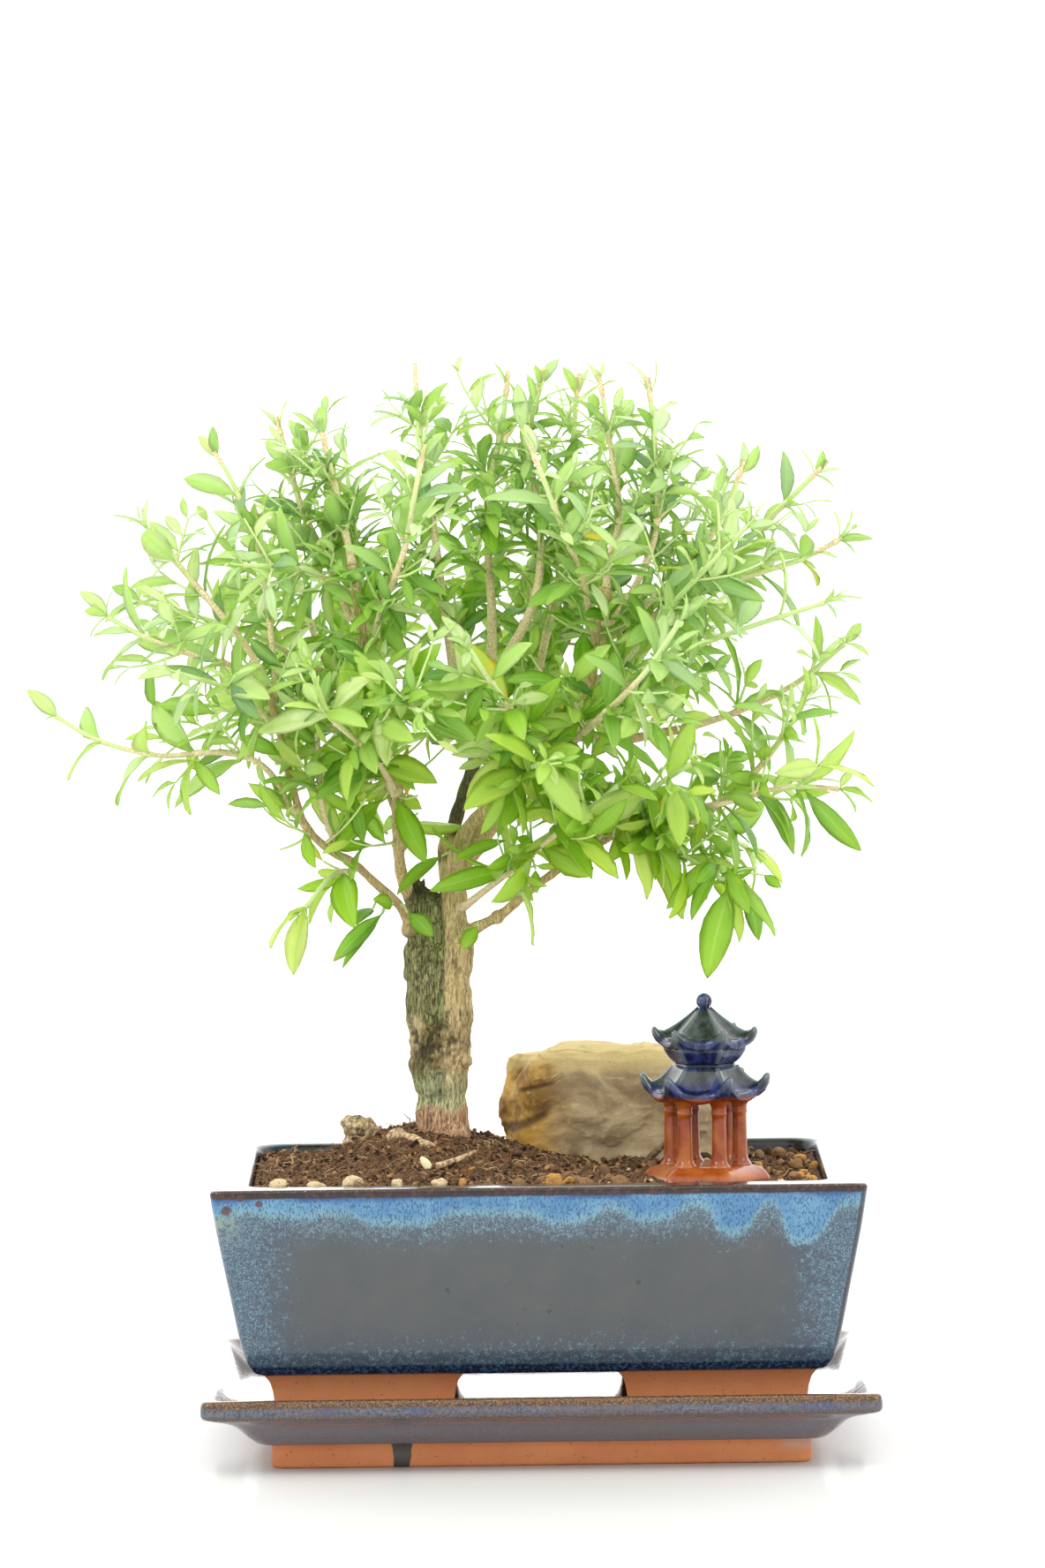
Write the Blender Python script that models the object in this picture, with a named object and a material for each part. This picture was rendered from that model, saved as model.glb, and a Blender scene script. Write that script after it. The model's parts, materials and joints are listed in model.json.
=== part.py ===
"""A serissa bonsai in a glazed rectangular pot on its drip tray, with a rock and a fired pagoda.

The origin is the middle of the drip tray's underside, +Z is up and -Y is the front.
"""

import math
import random

import bmesh
import bpy
import numpy as np
from mathutils import Matrix, Vector
from mathutils.bvhtree import BVHTree

# Driving dimensions, in metres
MM = 0.001
GAP = 0.3 * MM              # left between two pieces that touch
TRAY_HALF = (103.7 * MM, 81.4 * MM)
TRAY_FOOT_HALF = (82.6 * MM, 60.3 * MM)
TRAY_FOOT_TOP = 7.5 * MM
TRAY_FLOOR = 17.0 * MM
TRAY_RIM = 23.4 * MM
POT_HALF = (100.0 * MM, 75.0 * MM)
POT_BOTTOM = 28.5 * MM
POT_RIM = 87.0 * MM
LIP = 10.8 * MM             # width of the flat top of the rim
FOOT_LENGTH = 60.0 * MM     # of each corner foot, along the front
FOOT_WIDTH = 15.0 * MM
DRAIN_RADIUS = 6.0 * MM
DRAIN_APART = 45.0 * MM     # from the middle
SOIL_LEVEL = 84.5 * MM      # of the soil along the walls
CUT_TOP = 115.0 * MM        # above all of the soil
TRUNK_AT = (-29.5 * MM, 4.5 * MM)
TRUNK_HOLE = 9.6 * MM       # radius of the plain hole in the soil
TRUNK_SEAT = 85.6 * MM
PAGODA_AT = (52.0 * MM, -20.0 * MM)
PAGODA_TURN = math.radians(-8)
PAGODA_SEAT = 81.9 * MM
PLINTH_RADIUS = 20.2 * MM   # to its corners
ROCK_AT = (25.0 * MM, 32.0 * MM)
ROCK_HALF = (35.5 * MM, 18.0 * MM)
ROCK_SEAT = 84.0 * MM
ROCK_TOP = 120.5 * MM

# The wood that has grown together, as points across, deep and up with a radius, in millimetres
LIMBS = {
    "old_trunk": [
        (-30, 5, 86, 7.4), (-30, 5, 94, 7.2), (-31, 5, 101, 6.7), (-31, 5, 107, 6.3), (-32, 5, 117, 7.0),
        (-32, 5, 130, 7.9), (-33, 5, 145, 7.7), (-33, 5, 157, 7.0), (-34, 5, 166, 6.0), (-35, 5, 171, 4.6)],
    "tan_trunk": [
        (-27, 4, 87, 6.4), (-27, 3, 94, 6.2), (-27, 3, 105, 5.4), (-26, 2, 116, 5.0), (-25, 1, 129, 5.2),
        (-25, 1, 144, 5.2), (-24, 1, 154, 5.0), (-25, 2, 162, 4.3), (-25, 3, 170, 3.9), (-26, 4, 181, 4.0),
        (-26, 6, 188, 3.0)],
    "old_leader": [
        (-26, 5, 182, 3.2), (-25, 7, 190, 2.3), (-22, 9, 200, 2.1), (-18, 10, 212, 2.0), (-20, 10, 223, 1.9),
        (-18, 10, 229, 2.5), (-15, 10, 235, 3.4), (-13, 10, 242, 3.0)],
    "rear_limb": [
        (-24, 6, 177, 3.4), (-18, 14, 186, 3.6), (-11, 20, 194, 3.0), (-8, 24, 203, 2.5), (-6, 28, 212, 2.2),
        (6, 36, 218, 2.0), (16, 38, 217, 1.8), (29, 40, 216, 1.6), (47, 38, 219, 1.4)],
    "front_limb": [
        (-26, 2, 176, 3.0), (-20, -4, 192, 2.2), (-9, -8, 201, 2.0), (0, -10, 207, 1.8), (8, -12, 215, 1.7),
        (14, -13, 225, 1.7), (18, -14, 238, 1.9), (20, -15, 251, 1.7), (23, -16, 265, 1.6)],
    "left_limb": [
        (-36, 4, 164, 2.8), (-41, 0, 177, 1.9), (-42, -6, 191, 1.9), (-42, -10, 206, 2.0), (-45, -12, 219, 1.9),
        (-47, -13, 230, 1.9), (-51, -14, 245, 1.8), (-53, -13, 260, 1.6), (-55, -12, 274, 1.4)],
    "low_left_limb": [
        (-37, 3, 159, 2.4), (-42, -4, 168, 1.5), (-49, -8, 175, 1.4), (-56, -12, 182, 1.3),
        (-63, -15, 186, 1.3), (-71, -18, 195, 1.3), (-75, -18, 210, 1.2), (-80, -16, 231, 1.2), (-83, -15, 240, 1.2)],
    "low_right_limb": [
        (-23, 1, 158, 2.2), (-11, 0, 164, 1.6), (-1, -2, 172, 1.3), (10, -4, 180, 1.3), (26, -8, 190, 1.3),
        (34, -10, 195, 1.3), (48, -14, 194, 1.2)],
    "rear_riser": [(-8, 24, 204, 2.0), (-2, 38, 217, 1.6), (6, 52, 236, 1.4), (17, 62, 256, 1.2)],
    "rear_left_riser": [(-42, -8, 198, 1.9), (-49, 14, 212, 1.5), (-57, 32, 228, 1.3), (-66, 44, 244, 1.1)],
}

# Leafy stems that spring from that wood, read in the same way
STEMS = {
    "left_tip": [(-83, -15, 240, 1.1), (-89, -13, 251, 1.1), (-98, -12, 262, 1.0), (-108, -11, 274, .9),
                 (-118, -10, 286, .8)],
    "left_low": [(-72, -18, 199, 1.1), (-80, -24, 210, 1.0), (-87, -28, 216, .9), (-99, -32, 218, .9),
                 (-112, -35, 217, .8), (-123, -37, 219, .8), (-135, -38, 223, .7), (-146, -38, 230, .7)],
    "left_mid": [(-82, -15, 237, 1.0), (-92, -22, 244, .9), (-102, -26, 247, .9), (-118, -30, 253, .8),
                 (-130, -32, 260, .7)],
    "left_riser": [(-64, -15, 187, 1.1), (-65, -18, 198, 1.0), (-66, -20, 212, 1.0), (-66, -22, 227, .9),
                   (-60, -26, 242, .8)],
    "left_high": [(-53, -13, 258, 1.2), (-62, -8, 274, 1.1), (-70, -4, 290, 1.0), (-75, -2, 308, .9),
                  (-78, -2, 320, .8)],
    "left_leader": [(-55, -12, 274, 1.2), (-58, -10, 289, 1.1), (-62, -9, 307, 1.0), (-64, -9, 316, .9)],
    "left_top": [(-81, -16, 234, 1.0), (-81, -4, 258, 1.0), (-85, -2, 282, .9), (-92, -2, 300, .8),
                 (-99, -2, 312, .8)],
    "right_tip": [(48, -14, 194, 1.1), (58, -17, 199, 1.0), (67, -18, 207, 1.0), (76, -20, 218, .9),
                  (84, -22, 231, .8)],
    "right_bare": [(44, -13, 194, 1.0), (60, -24, 200, .9), (73, -27, 204, .8), (83, -29, 205, .8),
                   (94, -30, 204, .7)],
    "right_inner": [(-24, -2, 167, 1.3), (-16, -9, 172, 1.1), (-6, -16, 180, 1.0), (3, -26, 188, .9),
                    (14, -36, 197, .9), (26, -44, 207, .8)],
    "fan_long": [(18, -14, 238, 1.4), (27, -10, 244, 1.4), (39, -2, 257, 1.2), (52, 4, 264, 1.0),
                 (67, 8, 268, .9), (84, 10, 273, .9), (96, 8, 279, .8)],
    "fan_mid": [(20, -15, 250, 1.2), (34, -10, 259, 1.1), (46, -7, 270, 1.0), (58, -8, 284, .9),
                (67, -8, 305, .9)],
    "fan_high": [(21, -15, 256, 1.2), (32, -18, 266, 1.1), (39, -18, 284, 1.0), (39, -16, 308, .9),
                 (37, -15, 331, .8)],
    "fan_far": [(19, -14, 244, 1.2), (38, 6, 256, 1.1), (60, 16, 272, 1.0), (80, 10, 291, .9),
                (93, 4, 304, .8)],
    "front_leader": [(23, -16, 265, 1.2), (24, -15, 276, 1.1), (28, -13, 287, 1.0), (25, -11, 311, .9),
                     (22, -10, 332, .8)],
    "top_tan": [(-14, 10, 239, 1.6), (-7, 2, 246, 1.5), (-1, 0, 256, 1.4), (3, 0, 270, 1.3), (3, 1, 289, 1.1),
                (0, 2, 311, .9), (5, 2, 334, .8)],
    "top_left": [(-18, 10, 227, 1.6), (-25, 6, 245, 1.4), (-28, 3, 270, 1.3), (-31, 2, 295, 1.1),
                 (-34, 0, 317, .9), (-35, 0, 336, .8)],
    "top_mid": [(-13, 10, 242, 1.6), (-12, 10, 259, 1.4), (-13, 8, 278, 1.2), (-12, 6, 297, 1.1),
                (-8, 4, 317, .9), (-6, 4, 333, .8)],
    "top_right": [(-4, 36, 222, 1.4), (4, 24, 246, 1.3), (10, 18, 270, 1.1), (13, 12, 292, 1.0),
                  (14, 10, 312, .9), (16, 8, 332, .8)],
    "rear_right": [(17, 62, 256, 1.1), (28, 68, 278, 1.0), (37, 70, 296, .8)],
    "rear_far": [(16, 38, 217, 1.2), (32, 58, 232, 1.1), (48, 70, 248, 1.0), (66, 74, 262, .8)],
    "rear_mid": [(-19, 10, 224, 1.5), (-23, 30, 236, 1.4), (-22, 46, 254, 1.2), (-17, 56, 276, 1.0),
                 (-11, 60, 298, .9), (-5, 60, 316, .8)],
    "rear_left": [(-66, 44, 244, 1.0), (-72, 54, 263, .9), (-78, 58, 283, .8)],
    "rear_low": [(-52, 22, 219, 1.1), (-70, 40, 225, 1.0), (-88, 54, 234, .9), (-105, 60, 245, .8)],
    "rear_end": [(47, 38, 219, 1.2), (66, 34, 225, 1.0), (84, 30, 234, .9), (98, 24, 246, .8)],
    "front_mid": [(0, -10, 207, 1.3), (-1, -30, 217, 1.2), (-5, -48, 228, 1.1), (-12, -60, 239, 1.0),
                  (-19, -66, 250, .9)],
    "front_right": [(8, -12, 215, 1.3), (15, -32, 222, 1.2), (25, -50, 232, 1.0), (35, -62, 243, .9),
                    (45, -66, 258, .8)],
    "front_left": [(-42, -9, 204, 1.3), (-47, -30, 214, 1.2), (-54, -44, 222, 1.0), (-62, -54, 230, .9),
                   (-67, -60, 244, .8)],
    "front_high": [(21, -15, 254, 1.2), (16, -34, 269, 1.1), (11, -44, 283, 1.0), (5, -48, 299, .9),
                   (0, -48, 312, .8)],
    "front_up": [(-51, -14, 245, 1.2), (-46, -32, 261, 1.1), (-39, -44, 278, 1.0), (-35, -48, 297, .9),
                 (-32, -46, 312, .8)],
}

# Where the shorter leafy shoots end, each springing from the nearest wood below its tip
SHOOT_TIPS = [
    (58, -22, 176), (66, 8, 184), (-70, -30, 170), (-58, 30, 196), (-108, -62, 244), (-96, 20, 222),
    (-122, 22, 262), (-88, -50, 276), (-58, 26, 312), (-30, 80, 262), (-56, 84, 248), (24, 36, 312),
    (62, 40, 296), (90, -40, 262), (66, -52, 286), (48, -56, 214), (4, -72, 216), (-34, -74, 232),
    (8, 84, 232), (-14, 52, 206),
]

LEAF_STEP = 12.5 * MM       # between one pair of leaves and the next
LEAF_LENGTH = 20.5 * MM
LEAF_WIDTH = 0.31           # of the length
LEAF_RIB = 0.85 * MM        # thickness along the rib
STATIONS = ((0.36, 0.93), (0.70, 0.80))     # along the blade, and the share of its width there
CROWN_CENTRE = np.array((-17.0, 2.0, 225.0)) * MM


def clear_scene():
    for obj in list(bpy.data.objects):
        bpy.data.objects.remove(obj, do_unlink=True)


def new_collection(name):
    collection = bpy.data.collections.new(name)
    bpy.context.scene.collection.children.link(collection)
    return collection


clear_scene()
PARTS = new_collection("serissa_bonsai")
CUTTERS = new_collection("cutters")
CUTTERS.hide_render = True


def material(name, colour, roughness, metallic=0.0):
    """One Principled material for a sub-part."""
    made = bpy.data.materials.get(name) or bpy.data.materials.new(name)
    made.use_nodes = True
    shader = made.node_tree.nodes["Principled BSDF"]
    shader.inputs["Base Color"].default_value = (*colour, 1)
    shader.inputs["Roughness"].default_value = roughness
    shader.inputs["Metallic"].default_value = metallic
    made.diffuse_color = (*colour, 1)
    return made


def new_object(name, mesh, collection=PARTS):
    obj = bpy.data.objects.new(name, mesh)
    collection.objects.link(obj)
    return obj


def new_cutter(name, mesh):
    cutter = new_object(name, mesh, CUTTERS)
    cutter.hide_render = True
    cutter.display_type = "WIRE"
    return cutter


def mesh_from(builder, name):
    """The finished bmesh as a mesh, with its faces turned outwards."""
    bmesh.ops.recalc_face_normals(builder, faces=builder.faces)
    mesh = bpy.data.meshes.new(name)
    builder.to_mesh(mesh)
    builder.free()
    return mesh


def finish(obj, finish_material, sharp_degrees=40):
    obj.data.materials.clear()
    obj.data.materials.append(finish_material)
    obj.data.shade_smooth()
    obj.data.set_sharp_from_angle(angle=math.radians(sharp_degrees))


def loft(name, rings):
    """A closed solid through rings that hold the same number of points."""
    builder = bmesh.new()
    rows = [[builder.verts.new(point) for point in ring] for ring in rings]
    for low, high in zip(rows, rows[1:]):
        for i in range(len(low)):
            j = (i + 1) % len(low)
            builder.faces.new((low[i], low[j], high[j], high[i]))
    builder.faces.new(rows[0][::-1])
    builder.faces.new(rows[-1])
    return mesh_from(builder, name)


def rounded_ring(half, corner, z, centre=(0, 0), per_corner=4):
    """The outline of a rounded rectangle at one height, anticlockwise from above."""
    ring = []
    for quarter, (side_x, side_y) in enumerate(((1, 1), (-1, 1), (-1, -1), (1, -1))):
        for step in range(per_corner):
            angle = math.pi / 2 * (quarter + step / (per_corner - 1))
            ring.append((centre[0] + side_x * (half[0] - corner) + corner * math.cos(angle),
                         centre[1] + side_y * (half[1] - corner) + corner * math.sin(angle), z))
    return ring


def round_ring(centre, radius, z, points=16):
    turns = [2 * math.pi * i / points for i in range(points)]
    return [(centre[0] + radius * math.cos(turn), centre[1] + radius * math.sin(turn), z) for turn in turns]


def joined(obj, operation, others, solver="EXACT"):
    """Applies one Boolean on a collection of the other objects, and removes them."""
    tools = bpy.data.collections.new("tools")
    bpy.context.scene.collection.children.link(tools)
    for other in others:
        tools.objects.link(other)
    modifier = obj.modifiers.new("join", "BOOLEAN")
    modifier.operation = operation
    modifier.operand_type = "COLLECTION"
    modifier.collection = tools
    modifier.solver = solver
    graph = bpy.context.evaluated_depsgraph_get()
    made = bpy.data.meshes.new_from_object(obj.evaluated_get(graph), depsgraph=graph)
    obj.modifiers.clear()
    obj.data = made
    for other in others:
        bpy.data.objects.remove(other, do_unlink=True)
    bpy.data.collections.remove(tools)
    return obj


def tube_mesh(name, points, radii, resolution):
    """A round bar through the points, from a bevelled curve with filled caps."""
    curve = bpy.data.curves.new(name, "CURVE")
    curve.dimensions = "3D"
    curve.bevel_depth = 1.0
    curve.bevel_resolution = resolution
    curve.use_fill_caps = True
    spline = curve.splines.new("POLY")
    spline.points.add(len(points) - 1)
    for knot, point, radius in zip(spline.points, points, radii):
        knot.co = (*point, 1)
        knot.radius = radius
    guide = new_object(name, curve, CUTTERS)
    graph = bpy.context.evaluated_depsgraph_get()
    mesh = bpy.data.meshes.new_from_object(guide.evaluated_get(graph), depsgraph=graph)
    bpy.data.objects.remove(guide, do_unlink=True)
    builder = bmesh.new()
    builder.from_mesh(mesh)
    bmesh.ops.remove_doubles(builder, verts=builder.verts, dist=1e-6)
    return mesh_from(builder, name)


# The drip tray


def inset(half, amount):
    return (half[0] - amount, half[1] - amount)


def build_tray():
    """A pressed clay tray: unglazed foot, glazed cove above it and an upright band round the rim."""
    foot, band = TRAY_FOOT_HALF, TRAY_HALF
    profile = [
        (inset(foot, 1.2 * MM), 4 * MM, 0), (foot, 5 * MM, 1.2 * MM), (foot, 5 * MM, TRAY_FOOT_TOP),
        (inset(band, 16.5 * MM), 6 * MM, TRAY_FOOT_TOP + 0.6 * MM),
        (inset(band, 12.0 * MM), 6 * MM, 11.5 * MM), (inset(band, 9.3 * MM), 5 * MM, 15.0 * MM),
        (inset(band, 3.0 * MM), 4 * MM, 16.8 * MM), (inset(band, 0), 3 * MM, 18.4 * MM),
        (inset(band, 0.2 * MM), 3 * MM, 22.4 * MM), (inset(band, 1.2 * MM), 3 * MM, TRAY_RIM),
        (inset(band, 3.6 * MM), 3 * MM, TRAY_RIM), (inset(band, 10.5 * MM), 5 * MM, 18.2 * MM),
        (inset(band, 13.0 * MM), 6 * MM, TRAY_FLOOR),
    ]
    tray = new_object("drip_tray", loft("drip_tray", [rounded_ring(*row) for row in profile]))
    finish(tray, material("tray_glaze", (0.16, 0.17, 0.22), 0.12))


# The pot

POT_PROFILE = ((17.0, 28.5), (14.0, 28.7), (11.8, 30.6), (10.4, 34.0), (7.8, 42.0), (3.6, 64.0), (0.2, 83.0),
               (0.0, 86.0))     # inset from the rim and height, in millimetres
INSIDE_TOP, INSIDE_FLOOR = 11.8 * MM, 20.5 * MM    # inset of the wall's inner face at the lip and at the floor
FLOOR_TOP = 37.0 * MM
INNER_CORNER = 9.0 * MM
SOIL_CORNER = 10.6 * MM


def inner_half(z):
    """The half size of the pot's inside at a height."""
    share = (z - FLOOR_TOP) / (POT_RIM - FLOOR_TOP)
    return inset(POT_HALF, INSIDE_FLOOR + share * (INSIDE_TOP - INSIDE_FLOOR))


def foot_mesh(side_x, side_y):
    """One corner foot, an L in plan that narrows downwards."""
    rings = []
    for z, shrink in ((TRAY_FLOOR + GAP, 3.0 * MM), (POT_BOTTOM + 2 * MM, 0.0)):
        far_x, far_y = POT_HALF[0] - 16.0 * MM - shrink, POT_HALF[1] - 16.0 * MM - shrink
        near_x, near_y = far_x - FOOT_LENGTH + 2 * shrink, far_y - 0.6 * FOOT_LENGTH + 2 * shrink
        wide = FOOT_WIDTH - shrink
        ring = [(far_x, far_y), (near_x, far_y), (near_x, far_y - wide), (far_x - wide, far_y - wide),
                (far_x - wide, near_y), (far_x, near_y)]
        rings.append([(side_x * x, side_y * y, z) for x, y in ring])
    return loft("foot", rings)


def build_pot():
    """A slab-sided pot with a flat lip, four corner feet and two drain holes."""
    rings = [rounded_ring(inset(POT_HALF, amount * MM), 3.5 * MM, z * MM) for amount, z in POT_PROFILE]
    rings.append(rounded_ring(inset(POT_HALF, 0.9 * MM), 3 * MM, POT_RIM))
    rings.append(rounded_ring(inset(POT_HALF, LIP), INNER_CORNER, POT_RIM))
    rings.append(rounded_ring(inner_half(POT_RIM), INNER_CORNER, POT_RIM - 1.0 * MM))
    rings.append(rounded_ring(inner_half(FLOOR_TOP), INNER_CORNER, FLOOR_TOP))
    pot = new_object("pot", loft("pot", rings))
    corners = ((1, 1), (-1, 1), (-1, -1), (1, -1))
    joined(pot, "UNION", [new_cutter("foot", foot_mesh(*corner)) for corner in corners])
    drills = []
    for side in (-1, 1):
        ends = (TRAY_FLOOR, FLOOR_TOP + 5 * MM)
        rings = [round_ring((side * DRAIN_APART, 0), DRAIN_RADIUS, z, 12) for z in ends]
        drills.append(new_cutter("drill", loft("drill", rings)))
    joined(pot, "DIFFERENCE", drills)
    finish(pot, material("pot_glaze", (0.13, 0.18, 0.24), 0.1))


# Old wood at the surface: across, deep, up, radius, in millimetres

LOOSE_WOOD = {
    "root_stub": [(-55, 9, 88, 2.4), (-56, 9, 94, 2.7), (-57, 8, 98, 3.4), (-55, 8, 101.5, 3.6),
                  (-56, 8, 104, 2.6)],
    "surface_root": [(-47, -2, 93, 3.2), (-44.5, -4, 97, 3.3), (-40, -7, 96.5, 2.2), (-34, -11, 94.0, 1.4),
                     (-30, -14, 91.2, 1.0)],
    "fallen_twig": [(-32, -34, 89.4, 1.1), (-26, -33, 89.4, 1.0), (-20, -31, 89.2, .9), (-14, -30, 88.4, .7)],
    "dead_stem": [(35, 3, 84.2, 1.0), (38, 2, 88, 1.1), (42, 0, 91.5, 1.0), (45, -1, 94.5, .8)],
}


def bar(name, points, more=0.0):
    """A bar of old wood, thicker by the given amount where it is the seat of one."""
    path = [Vector(point[:3]) * MM for point in points]
    if more:
        path[0] = path[0] + (path[0] - path[1]).normalized() * more
        path[-1] = path[-1] + (path[-1] - path[-2]).normalized() * more
    return tube_mesh(name, path, [point[3] * MM + more * 1.15 for point in points], 1)


# The soil


def soil_height(x, y):
    """The soil's surface: low along the walls, a mound round the trunk, a level bed at the back right."""
    mound = 11.5 * math.exp(-((x / MM + 33) / 30) ** 2 - ((y / MM - 8) / 42) ** 2)
    bed = 1.6 * math.exp(-((x / MM - 30) / 45) ** 2 - ((y / MM - 30) / 30) ** 2)
    rough = 0.55 * math.sin(x / MM / 5.1 + 1.3) * math.sin(y / MM / 4.3) + 0.4 * math.sin((x + y) / MM / 3.1)
    edge = min(1, (POT_HALF[0] - abs(x) - LIP) / (12 * MM), (POT_HALF[1] - abs(y) - LIP) / (12 * MM))
    return SOIL_LEVEL + (mound + bed + rough) * MM * max(0, edge)


def pebble(x, y, size, turn):
    """A low-sided granule sunk to its middle in the surface."""
    builder = bmesh.new()
    bmesh.ops.create_icosphere(builder, subdivisions=1, radius=size)
    builder.transform(Matrix.Diagonal((1.25, 0.9, 0.75, 1)))
    builder.transform(Matrix.Rotation(turn, 4, "Z") @ Matrix.Rotation(turn * 1.7, 4, "X"))
    builder.transform(Matrix.Translation((x, y, soil_height(x, y) + 0.15 * size)))
    return new_cutter("pebble", mesh_from(builder, "pebble"))


# Where the coarse granules lie, across and deep, in millimetres
PEBBLES = [(-80, -56), (-68, -58), (-57, -56), (-43, -58), (-30, -57), (-6, -58), (5, -56), (14, -58), (25, -55),
           (9, -48), (79, -38), (82, -22), (80, -4), (82, 16), (76, 32)]


def hexagon(radius, z, corner_up=0.0, middle=None):
    """Twelve points round the pagoda's axis: six corners and the six middles of the sides between."""
    middle = radius * math.cos(math.pi / 6) if middle is None else middle
    ring = []
    for i in range(12):
        angle = PAGODA_TURN + math.pi * i / 6
        reach = middle if i % 2 else radius
        ring.append((PAGODA_AT[0] + reach * math.cos(angle), PAGODA_AT[1] + reach * math.sin(angle),
                     z + (0 if i % 2 else corner_up)))
    return ring


def rock_outline(z, more=0.0, points=14):
    """The rock's plan at its foot: long across, blunt at both ends, and widened by the given amount."""
    ring = []
    for i in range(points):
        angle = 2 * math.pi * i / points
        c, s = math.cos(angle), math.sin(angle)
        blunt = (abs(c) ** 3 + abs(s) ** 3) ** (-1 / 3)
        wave = 1 + 0.05 * math.sin(3 * angle + 0.6) + 0.03 * math.sin(5 * angle)
        ring.append((ROCK_AT[0] + (ROCK_HALF[0] + more) * blunt * wave * c,
                     ROCK_AT[1] + (ROCK_HALF[1] + more) * blunt * wave * s, z))
    return ring


def build_soil():
    """Peaty soil that fills the pot, with coarse granules on it and plain seats for what stands in it."""
    builder = bmesh.new()
    half = inner_half(SOIL_LEVEL)
    half = (half[0] - GAP, half[1] - GAP)
    bmesh.ops.create_grid(builder, x_segments=14, y_segments=10, size=1)
    for vert in builder.verts:
        x, y = vert.co.x * half[0], vert.co.y * half[1]
        over_x, over_y = abs(x) - (half[0] - SOIL_CORNER), abs(y) - (half[1] - SOIL_CORNER)
        if over_x > 0 and over_y > 0 and math.hypot(over_x, over_y) > SOIL_CORNER:
            pull = SOIL_CORNER / math.hypot(over_x, over_y)
            x = math.copysign(half[0] - SOIL_CORNER + over_x * pull, x)
            y = math.copysign(half[1] - SOIL_CORNER + over_y * pull, y)
        vert.co = (x, y, soil_height(x, y))
    rim = [edge for edge in builder.edges if edge.is_boundary]
    wall = bmesh.ops.extrude_edge_only(builder, edges=rim)["geom"]
    lower = inner_half(FLOOR_TOP)
    for vert in (item for item in wall if isinstance(item, bmesh.types.BMVert)):
        vert.co.x *= (lower[0] - GAP) / half[0]
        vert.co.y *= (lower[1] - GAP) / half[1]
        vert.co.z = FLOOR_TOP + GAP
    bmesh.ops.contextual_create(builder, geom=[edge for edge in builder.edges if edge.is_boundary])
    soil = new_object("soil", mesh_from(builder, "soil"))
    draw = random.Random(5)
    grains = [pebble(x * MM, y * MM, draw.uniform(1.7, 3.2) * MM, draw.uniform(0, 3)) for x, y in PEBBLES]
    joined(soil, "UNION", grains)
    outlines = {
        "rock_seat": [rock_outline(z, GAP) for z in (ROCK_SEAT, CUT_TOP)],
        "pagoda_seat": [hexagon(PLINTH_RADIUS + GAP, z) for z in (PAGODA_SEAT, CUT_TOP)],
        "trunk_seat": [round_ring(TRUNK_AT, TRUNK_HOLE, z) for z in (TRUNK_SEAT, CUT_TOP)],
    }
    seats = [new_cutter(name, loft(name, rings)) for name, rings in outlines.items()]
    for name, points in LOOSE_WOOD.items():
        seats.append(new_cutter("wood_seat", bar(name, points, GAP)))
    joined(soil, "DIFFERENCE", seats)
    finish(soil, material("soil", (0.11, 0.07, 0.045), 0.95), 60)


def build_loose_wood():
    for name, points in LOOSE_WOOD.items():
        finish(new_object(name, bar(name, points)), material("old_root", (0.45, 0.33, 0.21), 0.85))


# The rock


def build_rock():
    """A blunt sandstone lump with a flat underside, stepped at its left shoulder."""
    rows = [(0.985, 0.0), (0.985, 0.14), (1.0, 0.3), (0.985, 0.5), (0.95, 0.72), (0.86, 0.90), (0.66, 0.985),
            (0.3, 1.0)]
    rings = []
    for scale, rise in rows:
        z = ROCK_SEAT + GAP + rise * (ROCK_TOP - ROCK_SEAT - GAP)
        ring = []
        for x, y, _ in rock_outline(0):
            dx, dy = (x - ROCK_AT[0]) * scale, (y - ROCK_AT[1]) * scale
            across = dx / ROCK_HALF[0]
            step = 5.0 * MM * max(0, min(1, (-across - 0.45) * 4)) * max(0, rise - 0.5)
            slope = 2.5 * MM * across * rise
            lump = 0.9 * MM * math.sin(dx / MM / 6 + rise * 7) * math.sin(dy / MM / 5 + rise * 4)
            lump *= min(1, rise * 5)
            ring.append((ROCK_AT[0] + dx + lump + 1.5 * MM * rise * rise, ROCK_AT[1] + dy + lump + 2 * MM * rise,
                         z - step - slope * 0.6 + lump * rise))
        rings.append(ring)
    finish(new_object("rock", loft("rock", rings)), material("sandstone", (0.42, 0.33, 0.2), 0.8))


# The pagoda

PLINTH_TOP = 88.0 * MM
EAVE_LOW, EAVE_HIGH = 108.6 * MM, 124.6 * MM
NECK_TOP = 136.6 * MM
COLUMN_RING = 10.6 * MM


def roof_mesh(name, under, eave, reach, shell, neck_z, neck):
    """A six-sided roof with hollow slopes, thick eaves and corners that sweep up."""
    middle = reach * 0.74
    rings = [
        hexagon(under * 0.8, eave - 0.6 * MM), hexagon(under, eave - 0.2 * MM),
        hexagon(reach * 0.93, eave + 0.8 * MM, 1.2 * MM, middle),
        hexagon(reach, eave + 2.4 * MM, 5.2 * MM, middle),
        hexagon(reach * 0.84, eave + 2.6 * MM, 1.8 * MM, middle * 0.93),
        hexagon(neck + (reach - neck) * 0.42, eave + shell, 0.8 * MM),
        hexagon(neck, neck_z),
    ]
    return loft(name, rings)


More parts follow.
